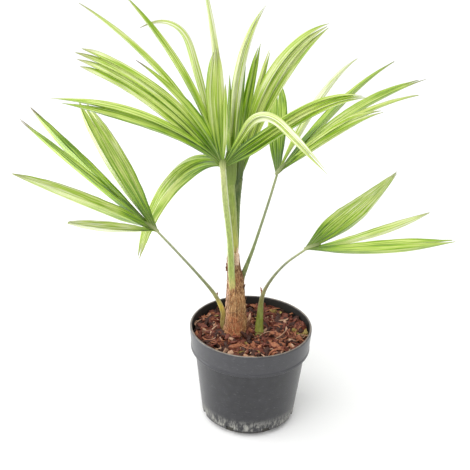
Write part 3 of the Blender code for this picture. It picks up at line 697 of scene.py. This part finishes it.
# Torn edges of the sheaths: dry flaps and spurs where a stalk leaves its sheath. Each is a start,
# a middle and an end in millimetres, a half width, a way that it faces, and a colour.
Flap = namedtuple("Flap", "start middle end width facing tint")
FLAPS = (
    Flap((-44, -8, 176), (-45.5, -8.5, 181), (-44.5, -9, 186.5), 1.4, (0, -1, 0), (140, 98, 58)),
    Flap((12, -6, 184), (12.2, -7, 190), (9.6, -7.5, 195), 1.3, (0, -1, 0), (168, 108, 76)),
    Flap((-13.5, -2, 196), (-13, -3, 204), (-15, -4.5, 211), 1.8, (0.4, -1, 0), (110, 70, 42)),
    Flap((-12, -6, 188), (-11.5, -7, 194), (-9, -8, 199), 1.4, (0.2, -1, 0), (86, 50, 32)),
    Flap((-10, -8, 124), (-5, -7, 137), (1, -6, 149), 3.2, (0.4, -1, 0.3), (110, 64, 44)),
    Flap((-7, -5, 128), (-3, -4, 142), (-1.5, -3, 154), 2.6, (-0.2, -1, 0.2), (226, 190, 158)),
    Flap((-33, -7, 123), (-37, -8, 131), (-40, -8, 137), 2.6, (-0.5, -1, 0.3), (116, 78, 48)),
    Flap((-33.6, -4, 214), (-34.6, -5, 221), (-34, -6, 227), 1.2, (-0.6, -1, 0), (110, 66, 48)),
    Flap((-20.5, -7.6, 224), (-20, -7.6, 236), (-21, -7, 248), 2.4, (0.3, -1, 0), (240, 216, 190)),
    Flap((-28, 6, 205), (-30, 8.5, 216), (-30, 9, 226), 2.6, (-0.5, 1, 0), (176, 132, 92)),
    Flap((-16, 8, 196), (-16.5, 9, 208), (-18, 8.5, 221), 2.6, (0.4, 1, 0), (150, 104, 66)),
)
FLAP_STATIONS = 12
FLAP_SIDES = 10
share = np.linspace(0, 1, FLAP_STATIONS)
paths = np.stack([(1 - t) ** 2 * np.array([flap.start for flap in FLAPS])
                  + 2 * t * (1 - t) * np.array([flap.middle for flap in FLAPS])
                  + t ** 2 * np.array([flap.end for flap in FLAPS]) for t in share], axis=1) * MM
radii = np.array([flap.width for flap in FLAPS])[:, None] * MM * (1 - 0.85 * share ** 2.5)
flap_points = strands(paths, radii, 0.2, np.array([flap.facing for flap in FLAPS]), FLAP_SIDES)
flap_points += 0.25 * MM * waves(flap_points, 3 * MM, 31)[..., None]
flap_tints = np.repeat([paint(*flap.tint) for flap in FLAPS], FLAP_STATIONS * FLAP_SIDES, axis=0)

flaps = add_piece("sheath_flaps", flap_points,
                  repeated(tube_faces(FLAP_STATIONS, FLAP_SIDES), len(FLAPS)), sheath)
set_tint(flaps, flap_tints)
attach(flaps, "root")


# The petioles
# Each leaf's own stalk: solid green wood-like tissue, flat in front with a shallow channel, and
# paler along its two edges. It clasps the trunk at its foot and thins on its way to the blade.
PETIOLE_FLATNESS = 0.72
PETIOLE_CHANNEL = 0.34
PETIOLE_NECK = 0.92
PETIOLE_STATIONS = 120
PETIOLE_SIDES = 28
# How far short of its hub's middle a petiole ends, in millimetres
PETIOLE_SHORT = 3
EDGE_NOTCH = 0.03
EDGE_PALE_FROM = 0.25
EDGE_PALE_FULL = 0.5

# Each petiole: the hub that it ends at, its route as points with the half width there, in
# millimetres, how pale its edges are, and its colours from its foot up, each with its height
Petiole = namedtuple("Petiole", "hub route pale colours")
PETIOLES = {
    "front": Petiole(
        (-41, -30, 364),
        ((-23, -5, 176, 4.6), (-26.5, -12.5, 206, 4.2), (-30.2, -18, 262, 4.0),
         (-36.8, -25, 318, 3.9)), 0.6,
        ((176, 172, 128, 80), (188, 192, 156, 98), (200, 202, 192, 118),
         (214, 160, 176, 84), (250, 152, 172, 78), (300, 164, 182, 100), (364, 192, 198, 132))),
    "middle": Petiole(
        (-32, -1, 334),
        ((-25, -1, 240.3, 5.8), (-26.8, -1, 266, 5.8), (-29.6, -1, 304, 5.8)), 0.1,
        ((240, 206, 176, 118), (250, 180, 180, 84), (276, 156, 164, 74),
         (310, 138, 158, 66), (340, 128, 150, 62))),
    "spear": Petiole(
        (-21, 9.5, 338),
        ((-22.5, 6.4, 240.3, 3.4), (-22.8, 6.8, 272, 3.9), (-23.6, 7.8, 306, 5.0)), 0.1,
        ((240, 170, 150, 90), (256, 98, 120, 46), (284, 104, 130, 54),
         (306, 66, 92, 28), (338, 52, 78, 20))),
    "back": Petiole(
        (27, 40, 333),
        ((-17, 0, 186, 4.2), (-13, 3, 204, 3.4), (0, 15, 240, 2.1), (17, 31, 296, 1.7)), 0.3,
        ((184, 96, 66, 40), (200, 74, 66, 34), (214, 86, 104, 46),
         (240, 112, 126, 78), (290, 138, 146, 116), (333, 164, 172, 124))),
    "left": Petiole(
        (-120, -30, 280),
        ((-30, -7, 125, 3.6), (-36.5, -8, 138, 3.5), (-37, -8, 157, 3.3), (-47, -9, 181, 2.7),
         (-66, -14, 209, 2.0), (-98, -24, 252, 1.7)), 0.3,
        ((125, 116, 80, 46), (140, 136, 104, 58), (156, 160, 132, 66),
         (166, 206, 176, 62), (178, 136, 130, 74), (200, 118, 126, 88),
         (250, 138, 144, 118), (280, 168, 174, 128))),
    "right": Petiole(
        (65, -20, 257),
        ((11, -3, 121.3, 6.2), (11, -4, 145, 4.7), (13, -6, 180, 2.8), (23, -9, 206, 2.0),
         (40, -14, 232, 1.7)), 0.3,
        ((121, 196, 184, 118), (129, 150, 154, 68), (150, 124, 138, 54),
         (172, 120, 116, 60), (186, 128, 114, 78), (206, 116, 120, 92),
         (235, 132, 138, 112), (257, 164, 172, 124))),
}


def smooth_route(points, stations):
    """Points spread along a smooth curve through the given ones (Catmull-Rom spans)."""
    rows = np.array(points, float)
    ends = np.vstack([2 * rows[0] - rows[1], rows, 2 * rows[-1] - rows[-2]])
    position = np.linspace(0, len(rows) - 1, stations)
    span = np.minimum(position.astype(int), len(rows) - 2)
    t = (position - span)[:, None]
    a, b, c, d = (ends[span + number] for number in range(4))
    return 0.5 * (2 * b + (c - a) * t + (2 * a - 5 * b + 4 * c - d) * t ** 2
                  + (3 * b - a - 3 * c + d) * t ** 3)


stalk_green, shader, place = new_finish("petiole_green", 0.42)
tint = point_value(place, "tint", "Color")
edge = point_value(place, "edge")
lines = grain(place, 0.6 * MM, (1, 1, 30), detail=3)
blotches = grain(place, 5 * MM, (1, 1, 2), detail=3)
colour = mixed(times(rise(lines, 0.4, 0.62), 0.5), tint, paint(84, 100, 38))
colour = mixed(times(rise(blotches, 0.4, 0.7), 0.18), colour, paint(206, 208, 140))
colour = mixed(edge, colour, paint(228, 232, 200))
set_looks(shader, colour, lines, 0.15 * MM)

for name, petiole in PETIOLES.items():
    hub = np.array(petiole.hub, float)
    last = np.array(petiole.route[-1])
    tip = hub + unit(last[:3] - hub) * PETIOLE_SHORT
    rows = smooth_route(petiole.route + ((*tip, last[3] * PETIOLE_NECK),), PETIOLE_STATIONS) * MM
    centre = rows[:, :3]
    along = unit(np.gradient(centre, axis=0))
    side = unit(np.array([1, 0, 0]) - along * along[:, :1])
    depth = np.cross(along, side)
    angles = np.linspace(0, 2 * np.pi, PETIOLE_SIDES, endpoint=False)
    wide = np.cos(angles) * (1 + EDGE_NOTCH * waves(centre, 2.4 * MM, 41)[:, None])
    front = np.clip(-np.sin(angles), 0, 1)
    channel = 1 - PETIOLE_CHANNEL * front * np.exp(-(np.cos(angles) / 0.5) ** 2)
    deep = np.sin(angles) * PETIOLE_FLATNESS * channel
    half_width = rows[:, 3, None, None]
    points = (centre[:, None] + half_width * wide[..., None] * side[:, None]
              + half_width * deep[None, :, None] * depth[:, None])
    heights, *bands = np.array([(stop[0] * MM, *paint(*stop[1:])) for stop in petiole.colours]).T
    tints = np.stack([np.interp(points[..., 2], heights, band) for band in bands], axis=-1)
    stalk = add_piece(f"stalk_{name}", points, tube_faces(PETIOLE_STATIONS, PETIOLE_SIDES),
                      stalk_green)
    set_tint(stalk, tints)
    share = np.linspace(0, 1, PETIOLE_STATIONS)[:, None]
    grown = np.clip((share - EDGE_PALE_FROM) / (EDGE_PALE_FULL - EDGE_PALE_FROM), 0, 1)
    paled = petiole.pale * grown * hump(np.abs(np.cos(angles)), 0.9, 1, 0.3)
    set_points(stalk, "edge", np.broadcast_to(paled, points.shape[:2]))
    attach(stalk, "root")
    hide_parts(f"petiole_{name}")


# The leaf blades
# Each frond is a fan of stiff straps that part almost to the hub. A strap is one to four pleats,
# each a thin blade folded up from its midrib, and it splits again where it nears its tips.
PATH_STEPS = 60
BASE_SHARE = 0.12
TAPER_FROM = 0.42
POINTED_END = 0.3
FOLDED_AT = 0.25
SPLIT_AT = 0.7
TIP_SHARE = 0.1
KINK_SPAN = 0.35
FOLD_SLOPE = 0.62

# What is finer here than in the solids: where pleats and their halves part and how late their
# points narrow, how thick the blade and its midrib are, how far a margin ripples and how far a
# strap twists by its tip, and how far the two halves of each pleat are painted lighter and darker,
# as painted light and shade across the fold, and differ at random in tone
PLEATS_PART_AT = 0.86
HALVES_PART_AT = 0.955
PLEAT_TIP = 0.25
HALF_TIP = 0.35
PARTED_POWER = 1.7
BLADE_THICKNESS = 0.4 * MM
RIB_THICKNESS = 0.55 * MM
MARGIN_RIPPLE = 0.15 * MM
TWIST = 5
ACROSS_HALF = (0, 0.1, 0.4, 0.72, 1)
OUTER_SHADE = 0.5
HALF_SHADE_AND_TONE = 0.14
RIPENESS = -0.24
STRAPS_APART = 0.1

# One strap of a blade. turn: angle from the blade's middle line. lift: angle above its plane. droop
# and sweep: how far the strap has turned down and sideways at its tip. bend: above 1 both turns come
# late. kink: share of the length where a creased strap folds over instead. full: share where it is
# at full width. taper: above 1 it narrows late. end: width left at the tip. tone: from deep green
# (-1) to pale (1). dry: how brown its tip is. split: share where its tips part. fade: how much paler
# it gets by its middle.
Strap = namedtuple("Strap", "turn lift length droop width pleats tips end bend kink sweep full taper "
                            "tone dry split fade",
                   defaults=(1, 1, 0.05, 1.5, None, 0, 0.42, 1.4, 0.0, 0.15, SPLIT_AT, 0.0))
Blade = namedtuple("Blade", "bearing rise straps")
BLADES = {
    "front": Blade(-100, 85, (
        Strap(52, 28, 245, 112, 28, pleats=2, tips=2, bend=0.32, full=0.4, taper=1.6, tone=0.5,
              dry=0.3, split=0.85),
        Strap(38, 2, 220, 38, 22, pleats=2, tips=2, bend=0.45, sweep=12, full=0.8, taper=2,
              tone=-0.1),
        Strap(40, 4, 216, 9, 30, pleats=4, tips=4, end=1, bend=1.2, sweep=28, full=0.6, tone=0.4,
              dry=0.5, split=0.86),
        Strap(25, 2, 247, 34, 8, end=0.1, bend=1, full=0.66, taper=2.3, tone=0.3, dry=0.4),
        Strap(15, -5, 170, 34, 12, bend=0.7, full=0.7, taper=1.2, tone=-0.2, dry=1),
        Strap(14.5, -3, 224, 25, 9, end=0.2, bend=1, full=0.55, taper=2.6, tone=0.2),
        Strap(15, 0, 214, 98, 10, kink=0.82, full=0.8, taper=2.5, tone=0.5, dry=0.7),
        Strap(2.5, 0, 222, 16, 10, end=0.2, bend=2, tone=0.9),
        Strap(8.5, -7, 150, 0, 22, pleats=3, end=0.2, bend=1.1, sweep=-15, full=0.8, taper=3,
              tone=-0.1, dry=0.4, fade=0.5),
        Strap(-3, -8, 109, 0, 7, full=0.55, taper=2.5, tone=0.4),
        Strap(-28, -4, 184, 98, 14, pleats=2, tips=2, kink=0.46, full=0.8, taper=3, tone=-0.1,
              fade=1.3),
        Strap(-50, 0, 194, 45, 18, pleats=4, bend=4, full=0.3, taper=3, tone=-0.2, fade=0.5),
    )),
    "middle": Blade(-90, 88, (
        Strap(1.7, 0, 134, 0, 9, tone=-0.3),
        Strap(-1, -1, 222, 4, 12, pleats=2, bend=3, sweep=-33, full=0.3, taper=3, tone=0.0,
              fade=1.0),
        Strap(-5.4, 1, 150, 0, 10, tone=-0.6),
    )),
    "spear": Blade(-60, 86, (
        Strap(9, 0, 165, 2, 14, pleats=2, end=0.2, bend=0.3, sweep=-20, full=0.7, taper=3,
              tone=-0.2),
        Strap(-4, 3, 156, 0, 10, pleats=2, end=0.3, bend=0.25, sweep=-11, full=0.8, taper=3,
              tone=0.1),
        Strap(-13.5, 0, 216, 6, 34, pleats=3, end=0.2, bend=1.9, sweep=-47, full=0.8, taper=3,
              tone=0.7),
    )),
    "back": Blade(20, 45, (
        Strap(-61, 0, 200, 4, 37, pleats=4, tips=2, bend=1.8, full=0.8, taper=2, tone=-0.2),
        Strap(-28, 0, 232, 33, 13, bend=2, full=0.47, taper=1.7, tone=1.1),
        Strap(-3.5, 0, 205, 22, 14, bend=2.7, full=0.6, tone=-0.2, dry=0.4),
        Strap(5.5, 1, 219, 32, 18, pleats=2, tips=2, bend=1.3, full=0.8, taper=3, tone=0.0,
              dry=0.6),
        Strap(16, 3, 198, 32, 10, end=0.1, taper=1.8, tone=0.3),
        Strap(22, 1, 153, 27, 20, pleats=2, tips=2, bend=3.4, full=0.8, taper=3, tone=0.3,
              dry=0.3),
    )),
    "left": Blade(180, 35, (
        Strap(-53, 0, 164, -7, 15, end=0.2, full=0.74, taper=2.9, tone=0.9),
        Strap(-24, 0, 194, 3, 19, full=0.25, taper=2.6, tone=0.0, dry=0.4, fade=0.6),
        Strap(7.5, 1, 217, 4, 16, pleats=2, tips=2, bend=0.43, sweep=15, full=0.3, taper=2.5,
              tone=-0.1, dry=0.9),
        Strap(19, -1, 249, 4, 19, bend=1, sweep=29, full=0.66, taper=2.1, tone=-0.2, dry=0.9),
        Strap(42, 8, 236, 6, 46, pleats=3, tips=3, bend=2.2, sweep=14, full=0.6, taper=2.6,
              tone=0.6),
    )),
    "right": Blade(0, 20, (
        Strap(-38, 0, 227, 4, 47, pleats=4, bend=0.5, sweep=-20, full=0.37, taper=1, tone=0.0,
              dry=0.4, fade=0.5),
        Strap(17, -2, 160, 2, 14, bend=0.9, sweep=-45, full=0.8, taper=2.8, tone=0.5, dry=0.3),
        Strap(42, 2, 190, 4, 25, pleats=2, tips=2, bend=0.86, sweep=-27, full=0.8, taper=3,
              tone=0.1, dry=0.2),
    )),
}


def turned_about(vectors, axis, angles):
    """Vectors turned about a unit axis, each by its own angle (Rodrigues' formula)."""
    cosine = np.cos(angles)[:, None]
    sine = np.sin(angles)[:, None]
    on_axis = axis * (vectors @ axis)[:, None]
    return vectors * cosine + np.cross(axis, vectors) * sine + on_axis * (1 - cosine)


def blade_axes(blade):
    """The blade's middle line, its side and its upper normal."""
    bearing, climb = np.radians([blade.bearing, blade.rise])
    ahead = np.array([np.cos(climb) * np.cos(bearing), np.cos(climb) * np.sin(bearing), np.sin(climb)])
    side = unit(np.cross(ahead, (0, 0, 1)))
    return ahead, side, np.cross(side, ahead)


def strap_route(hub, blade, strap, twist):
    """Centre, width way and upper normal at even steps along a strap that turns to the ground."""
    ahead, side, normal = blade_axes(blade)
    lift, droop = np.radians([strap.lift, strap.droop])
    share = np.linspace(0, 1, PATH_STEPS + 1)
    if strap.kink is None:
        bent = share ** strap.bend
    else:
        along = np.clip((share - strap.kink) / KINK_SPAN + 0.5, 0, 1)
        bent = along * along * (3 - 2 * along)
    turn = np.radians(strap.turn + strap.sweep * bent)[:, None]
    flat_way = np.cos(lift) * (np.cos(turn) * ahead + np.sin(turn) * side) + np.sin(lift) * normal
    level = unit(np.cross(flat_way[0], (0, 0, 1)))
    way = turned_about(flat_way, level, -droop * bent)
    width_way = turned_about(unit(np.cross(flat_way, normal)), level, -droop * bent)
    upper = np.cross(width_way, way)
    spin = np.radians(twist) * share[:, None] ** 2
    width_way = width_way * np.cos(spin) + upper * np.sin(spin)
    centre = hub + np.vstack([np.zeros(3),
                              np.cumsum(way[:-1], axis=0)]) * strap.length * MM / PATH_STEPS
    return centre, width_way, np.cross(width_way, way)


def strap_half_width(strap, share):
    """Half the strap's width: it opens from the hub, stays full, then narrows to its end."""
    opened = np.sin(np.minimum(1, BASE_SHARE + share / strap.full) * np.pi / 2)
    narrowing = np.maximum(0, (share - TAPER_FROM) / (1 - TAPER_FROM))
    end = strap.end if strap.tips == 1 else max(strap.end, POINTED_END)
    return strap.width * MM / 2 * opened * (1 - (1 - end) * narrowing ** strap.taper)


def parted(share, start, left):
    """1 until start, then down ever faster to the share of width that is left at the tip."""
    return 1 - (1 - left) * np.clip((share - start) / (1 - start), 0, 1) ** PARTED_POWER


def strap_surface(hub, blade, strap, random):
    """A strap as a closed thin shell: points, faces, and for each point how far along its strap it
    lies, how deep in the folds (0 to 1), its tone, in which its pleat halves carry painted light and
    shade, and its place on the flat strap in metres.

    The strap is laid out in panels, two for each pleat, from a margin or crease down to the midrib
    or from the midrib up. Next panels share their points up to where the blade parts between them.
    Past that, each part narrows towards its own middle line, and runs on by its own length.
    """
    centre, width_way, upper_way = strap_route(hub, blade, strap, random.uniform(-TWIST, TWIST))
    panel = np.arange(2 * strap.pleats)
    pleat = panel // 2
    fine = np.array(ACROSS_HALF)
    step = np.where((panel % 2 == 0)[:, None], 1 - fine[::-1], fine)
    from_rib = np.where((panel % 2 == 0)[:, None], 1 - step, step)
    place = (panel[:, None] + step) / strap.pleats - 1
    borders = [round(tip * strap.pleats / strap.tips) for tip in range(strap.tips + 1)]
    tip = np.searchsorted(borders, pleat, side="right") - 1
    tip_middle = (np.array(borders)[tip] + np.array(borders)[tip + 1]) / strap.pleats - 1
    pleat_middle = (2 * pleat + 1) / strap.pleats - 1
    half_middle = (panel + 0.5) / strap.pleats - 1

    # Where each panel parts from the next one: at its midrib, between pleats, or between tips
    parts_at = np.full(2 * strap.pleats, HALVES_PART_AT)
    parts_at[1::2] = PLEATS_PART_AT
    parts_at[2 * np.array(borders[1:]) - 1] = strap.split
    free_from = np.zeros(strap.pleats)
    inner = parts_at[1:-1:2]
    free_from[:-1] = inner
    free_from[1:] = np.maximum(free_from[1:], inner)
    reach = random.uniform(0.72, 1, strap.pleats)
    reach[random.integers(strap.pleats)] = 1
    reach = np.where(free_from > 0, reach, 1)

    row = np.linspace(0, 1, PATH_STEPS + 1)[:, None]
    start = free_from[pleat]
    share = np.where(row < start, row, start + (row - start) * reach[pleat])
    half_width = strap_half_width(strap, share)
    tip_left = parted(row, strap.split, TIP_SHARE if strap.tips > 1 else 1) + 0 * share
    pleat_left = parted(row, PLEATS_PART_AT, PLEAT_TIP if strap.pleats > strap.tips else 1)
    half_left = parted(row, HALVES_PART_AT, HALF_TIP)
    from_tip = (place - tip_middle[:, None]) * tip_left[..., None]
    pleat_shift = (pleat_middle - tip_middle) * tip_left
    from_pleat = (from_tip - pleat_shift[..., None]) * pleat_left[..., None]
    half_shift = (half_middle - pleat_middle) * tip_left * pleat_left
    from_half = (from_pleat - half_shift[..., None]) * half_left[..., None]
    across = tip_middle[:, None] + pleat_shift[..., None] + half_shift[..., None] + from_half
    fold = FOLD_SLOPE * half_width / strap.pleats * tip_left * pleat_left
    fold = fold * np.minimum(1, share / FOLDED_AT)
    height = fold[..., None] * (2 * from_rib ** 0.9 - 1)

    route_row = share * PATH_STEPS
    low = np.minimum(route_row.astype(int), PATH_STEPS - 1)
    part = (route_row - low)[..., None]
    spine, wide, up = (rows[low] * (1 - part) + rows[low + 1] * part
                       for rows in (centre, width_way, upper_way))
    flat = np.stack([place + 0 * share[..., None], share[..., None] + 0 * place], axis=-1)
    flat = flat * (strap.width * MM / 2, strap.length * MM)
    ripple = MARGIN_RIPPLE * waves(flat + random.uniform(0, 1, 2), 22 * MM, int(strap.length))
    height = height + ripple * from_rib * np.minimum(1, share / FOLDED_AT)[..., None]
    top = (spine[..., None, :] + wide[..., None, :] * (across * half_width[..., None])[..., None]
           + up[..., None, :] * height[..., None])
    thickness = BLADE_THICKNESS * (1 - 0.5 * share[..., None] * from_rib)
    thickness = thickness + RIB_THICKNESS * (1 - share[..., None]) * np.exp(-(from_rib / 0.2) ** 2)
    bottom = top - up[..., None, :] * thickness[..., None]

    number = np.arange(across.size).reshape(across.shape)
    for right in range(1, 2 * strap.pleats):
        shared = row[:, 0] <= parts_at[right - 1]
        number[shared, right, 0] = number[shared, right - 1, -1]
    sheet = np.stack([number[:-1, :, :-1], number[:-1, :, 1:], number[1:, :, 1:], number[1:, :, :-1]],
                     axis=-1).reshape(-1, 4)
    used, sheet = np.unique(sheet, return_inverse=True)
    sheet = sheet.reshape(-1, 4)
    count = len(used)
    start_point = sheet.ravel()
    end_point = np.roll(sheet, -1, axis=1).ravel()
    border = ~np.isin(start_point * count + end_point, end_point * count + start_point)
    start_point, end_point = start_point[border], end_point[border]
    rim = np.stack([end_point, start_point, count + start_point, count + end_point], axis=1)
    faces = np.vstack([sheet, count + sheet[:, ::-1], rim])
    points = np.vstack([top.reshape(-1, 3)[used], bottom.reshape(-1, 3)[used]])
    along = np.tile((share[..., None] + 0 * place).ravel()[used], 2)
    # How deep each point lies in its fold, seen from its own face, for the finish to paint as shade;
    # the outer margins take only part of it
    outer = (panel == 0) | (panel == 2 * strap.pleats - 1)
    sunk_below = from_rib * np.where(outer, OUTER_SHADE, 1)[:, None]
    sunk = np.stack([1 - from_rib + 0 * share[..., None], sunk_below + 0 * share[..., None]])
    # Painted light and shade: one half of each pleat is painted lighter and the other darker, as the
    # two faces of a fold would be lit, and each half also differs at random in tone
    half_shades_and_tones = HALF_SHADE_AND_TONE * (1 - 2 * (panel % 2)) + random.normal(0, HALF_SHADE_AND_TONE, len(panel))
    faded = strap.fade * np.minimum(1, 2 * share)[..., None]
    tone = np.tile((strap.tone + faded + half_shades_and_tones[:, None] + 0 * across).ravel()[used], 2)
    flat = np.tile(flat.reshape(-1, 2)[used], (2, 1))
    return points, faces, along, sunk.reshape(2, -1)[:, used].ravel(), tone, flat


leaf_green, shader, place = new_finish("leaf_green", 0.36, specular=0.42)
along, sunk, tone, dry = (point_value(place, name) for name in ("along", "sunk", "tone", "dry"))
flat_place = point_value(place, "flat", "Vector")
veins = grain(flat_place, 0.5 * MM, (1, 90, 1), detail=2)
bands = rise(grain(flat_place, 0.85 * MM, (1, 80, 1), detail=1), 0.4, 0.6)
clouds = grain(flat_place, 26 * MM, (0.6, 1.5, 1), detail=2)
# How light the green is: the strap's tone with the painted light and shade of its pleat halves, darker
# near the hub as painted shade deep in the fan, and soft patches that are partly random tone and partly
# painted highlights and light shining through the blade
ripeness_and_shading = plus(times(tone, 0.32), RIPENESS, times(along, 0.12), times(rise(along, 0.0, 0.42), 0.34),
                times(clouds, 0.3), times(bands, 0.36))
shades = add_node(place, "ShaderNodeValToRGB", {"Fac": ripeness_and_shading})
stops = shades.color_ramp.elements
stops[0].position, stops[0].color = 0.0, paint(46, 82, 8)
stops[1].position, stops[1].color = 1.0, paint(238, 242, 216)
stops.new(0.25).color = paint(86, 130, 8)
stops.new(0.5).color = paint(152, 186, 40)
stops.new(0.75).color = paint(202, 214, 122)
near_hub = rise(along, 0.6, 0.04)
# Painted shade: the sunken side of each fold, the midrib seen from above and the creases seen from
# below, is painted dark green, most of all near the hub
crease_shade = times(rise(sunk, 0.6, 0.97), plus(times(near_hub, 0.75), 0.2))
colour = mixed(crease_shade, shades.outputs["Color"], paint(42, 78, 10))
stripes = times(rise(veins, 0.46, 0.32), plus(times(near_hub, 0.6), 0.34))
colour = mixed(stripes, colour, paint(64, 100, 14))
# Painted highlight: the raised edges of the folds are painted pale
ridge = rise(sunk, 0.14, 0.0)
colour = mixed(times(ridge, 0.3), colour, paint(222, 232, 160))
colour = mixed(times(rise(veins, 0.52, 0.7), 0.3), colour, paint(220, 230, 150))
hub_shade = rise(along, 0.14, 0.0)
colour = mixed(times(hub_shade, 0.4), colour, paint(110, 124, 34))
browned = times(dry, rise(plus(along, times(clouds, 0.08)), 0.9, 1.02))
colour = mixed(browned, colour, paint(120, 106, 88))
set_input(shader, "Roughness", plus(times(bands, 0.12), 0.28))
set_looks(shader, colour, plus(veins, times(bands, 0.5)), 0.12 * MM)

random = np.random.default_rng(7)
for name, blade in BLADES.items():
    hub = np.array(PETIOLES[name].hub) * MM
    straps = [strap_surface(hub, blade, strap, random) for strap in blade.straps]
    points, faces, along, sunk, tone, flat = zip(*straps)
    sizes = [len(lot) for lot in points]
    starts = np.cumsum([0] + sizes[:-1])
    leaf = add_piece(f"leaf_{name}", np.vstack(points),
                     [lot + start for lot, start in zip(faces, starts)], leaf_green)
    set_points(leaf, "along", np.concatenate(along))
    set_points(leaf, "sunk", np.concatenate(sunk))
    set_points(leaf, "tone", np.concatenate(tone))
    set_points(leaf, "dry", np.repeat([strap.dry for strap in blade.straps], sizes))
    apart = np.repeat(STRAPS_APART * np.arange(len(straps)), sizes)[:, None]
    set_points(leaf, "flat", np.hstack([np.vstack(flat), apart]), "FLOAT_VECTOR", "vector")
    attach(leaf, "root")
    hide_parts(f"frond_{name}")


# The hubs
# Where a petiole ends, its tissue spreads into a thick ribbed web that all the pleats spring from.
# Its colour runs on from the stalk's into the blade's.
Web = namedtuple("Web", "half_length half_width half_depth ahead")
WEBS = {
    "front": Web(7.5, 4.3, 3.0, 3.5),
    "middle": Web(25, 7.8, 3.8, 17),
    "spear": Web(21, 5.2, 3.2, 12),
    "back": Web(11, 3.6, 2.6, 6.5),
    "left": Web(11, 3.4, 2.6, 6.5),
    "right": Web(11, 3.4, 2.6, 6.5),
}
WEB_ROWS = 24
WEB_COLUMNS = 48
WEB_RIBS = 9
WEB_SQUARENESS = 0.5

knot, shader, place = new_finish("hub_web", 0.42)
tint = point_value(place, "tint", "Color")
ribs = grain(place, 0.7 * MM, (1, 1, 12), detail=3)
colour = mixed(times(rise(ribs, 0.4, 0.65), 0.35), tint, paint(96, 112, 36))
set_looks(shader, colour, ribs, 0.2 * MM)

for name, blade in BLADES.items():
    petiole = PETIOLES[name]
    size = WEBS[name]
    ahead, side, normal = blade_axes(blade)
    polar = np.linspace(0.06, np.pi - 0.06, WEB_ROWS)[:, None]
    angles = np.linspace(0, 2 * np.pi, WEB_COLUMNS, endpoint=False)[None]
    bulge = np.sin(polar) ** WEB_SQUARENESS
    rib = 1 + 0.08 * np.cos(WEB_RIBS * angles) * np.sin(polar)
    along = size.ahead - np.cos(polar) * size.half_length + 0 * angles
    across = bulge * np.cos(angles) * size.half_width
    above = bulge * np.sin(angles) * size.half_depth * rib
    points = (np.array(petiole.hub) + along[..., None] * ahead + across[..., None] * side
              - above[..., None] * normal) * MM
    web = add_piece(f"hub_{name}", points, tube_faces(WEB_ROWS, WEB_COLUMNS), knot)
    set_tint(web,
             blend(paint(*petiole.colours[-1][1:]), paint(88, 108, 30),
                   np.broadcast_to((1 - np.cos(polar)) / 2, points.shape[:2])))
    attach(web, "root")


# The studio
# The plant stands on a white table top that runs on into a white background, in broad even light
# with a soft panel on its left, and the camera looks down on it a little from the front.
FLOOR_HALF = 8.0
CAMERA_PLACE = (-0.0243, -1.0047, 0.7242)
CAMERA_PITCH = 24.67
CAMERA_ROLL = 0.030
FOCAL_PIXELS = 886
IMAGE_PIXELS = 470
SENSOR_MM = 36
SKY_STRENGTH = 0.8
SUN_ENERGY = 1.6
SUN_SPREAD = 50
SUN_TURN = (38, 6, -32)
PANEL_ENERGY = 9
PANEL_SIZE = 0.9
PANEL_PLACE = (-1.1, 0.15, 0.45)
PANEL_TURN = (0, -80, 0)


def add_light(name, kind, energy, turn, place=(0, 0, 0)):
    """A light of one kind, turned about X, Y and Z by degrees."""
    light = bpy.data.lights.new(name, kind)
    light.energy = energy
    lamp = bpy.data.objects.new(name, light)
    lamp.location = place
    lamp.rotation_euler = np.radians(turn)
    bpy.context.scene.collection.objects.link(lamp)
    return light


white, shader, place = new_finish("table_white", 0.7, specular=0.2)
shade = grain(place, 0.4, detail=2)
set_input(shader, "Base Color", mixed(shade, paint(248, 248, 248), paint(252, 252, 252)))
corners = FLOOR_HALF * np.array([(-1, -1, 0), (1, -1, 0), (1, 1, 0), (-1, 1, 0)], float)
floor = add_piece("table_top", corners, [np.arange(4)[None]], white)

world = bpy.data.worlds.new("studio")
world.use_nodes = True
sky = world.node_tree.nodes["Background"]
sky.inputs["Color"].default_value = (1, 1, 1, 1)
sky.inputs["Strength"].default_value = SKY_STRENGTH
bpy.context.scene.world = world
add_light("soft_key", "SUN", SUN_ENERGY, SUN_TURN).angle = np.radians(SUN_SPREAD)
add_light("side_panel", "AREA", PANEL_ENERGY, PANEL_TURN, PANEL_PLACE).size = PANEL_SIZE

lens = bpy.data.cameras.new("camera")
lens.sensor_width = SENSOR_MM
lens.lens = FOCAL_PIXELS / IMAGE_PIXELS * SENSOR_MM
camera = bpy.data.objects.new("camera", lens)
pitch = np.radians(CAMERA_PITCH)
ahead = np.array([0, np.cos(pitch), -np.sin(pitch)])
across = np.array([1.0, 0, 0])
above = np.cross(across, ahead)
right = np.cos(CAMERA_ROLL) * across + np.sin(CAMERA_ROLL) * above
up = np.cos(CAMERA_ROLL) * above - np.sin(CAMERA_ROLL) * across
turn = Matrix(np.stack([right, up, -ahead], axis=1).tolist())
camera.matrix_world = Matrix.Translation(CAMERA_PLACE) @ turn.to_4x4()
bpy.context.scene.collection.objects.link(camera)
bpy.context.scene.camera = camera
bpy.context.scene.view_settings.view_transform = "Standard"
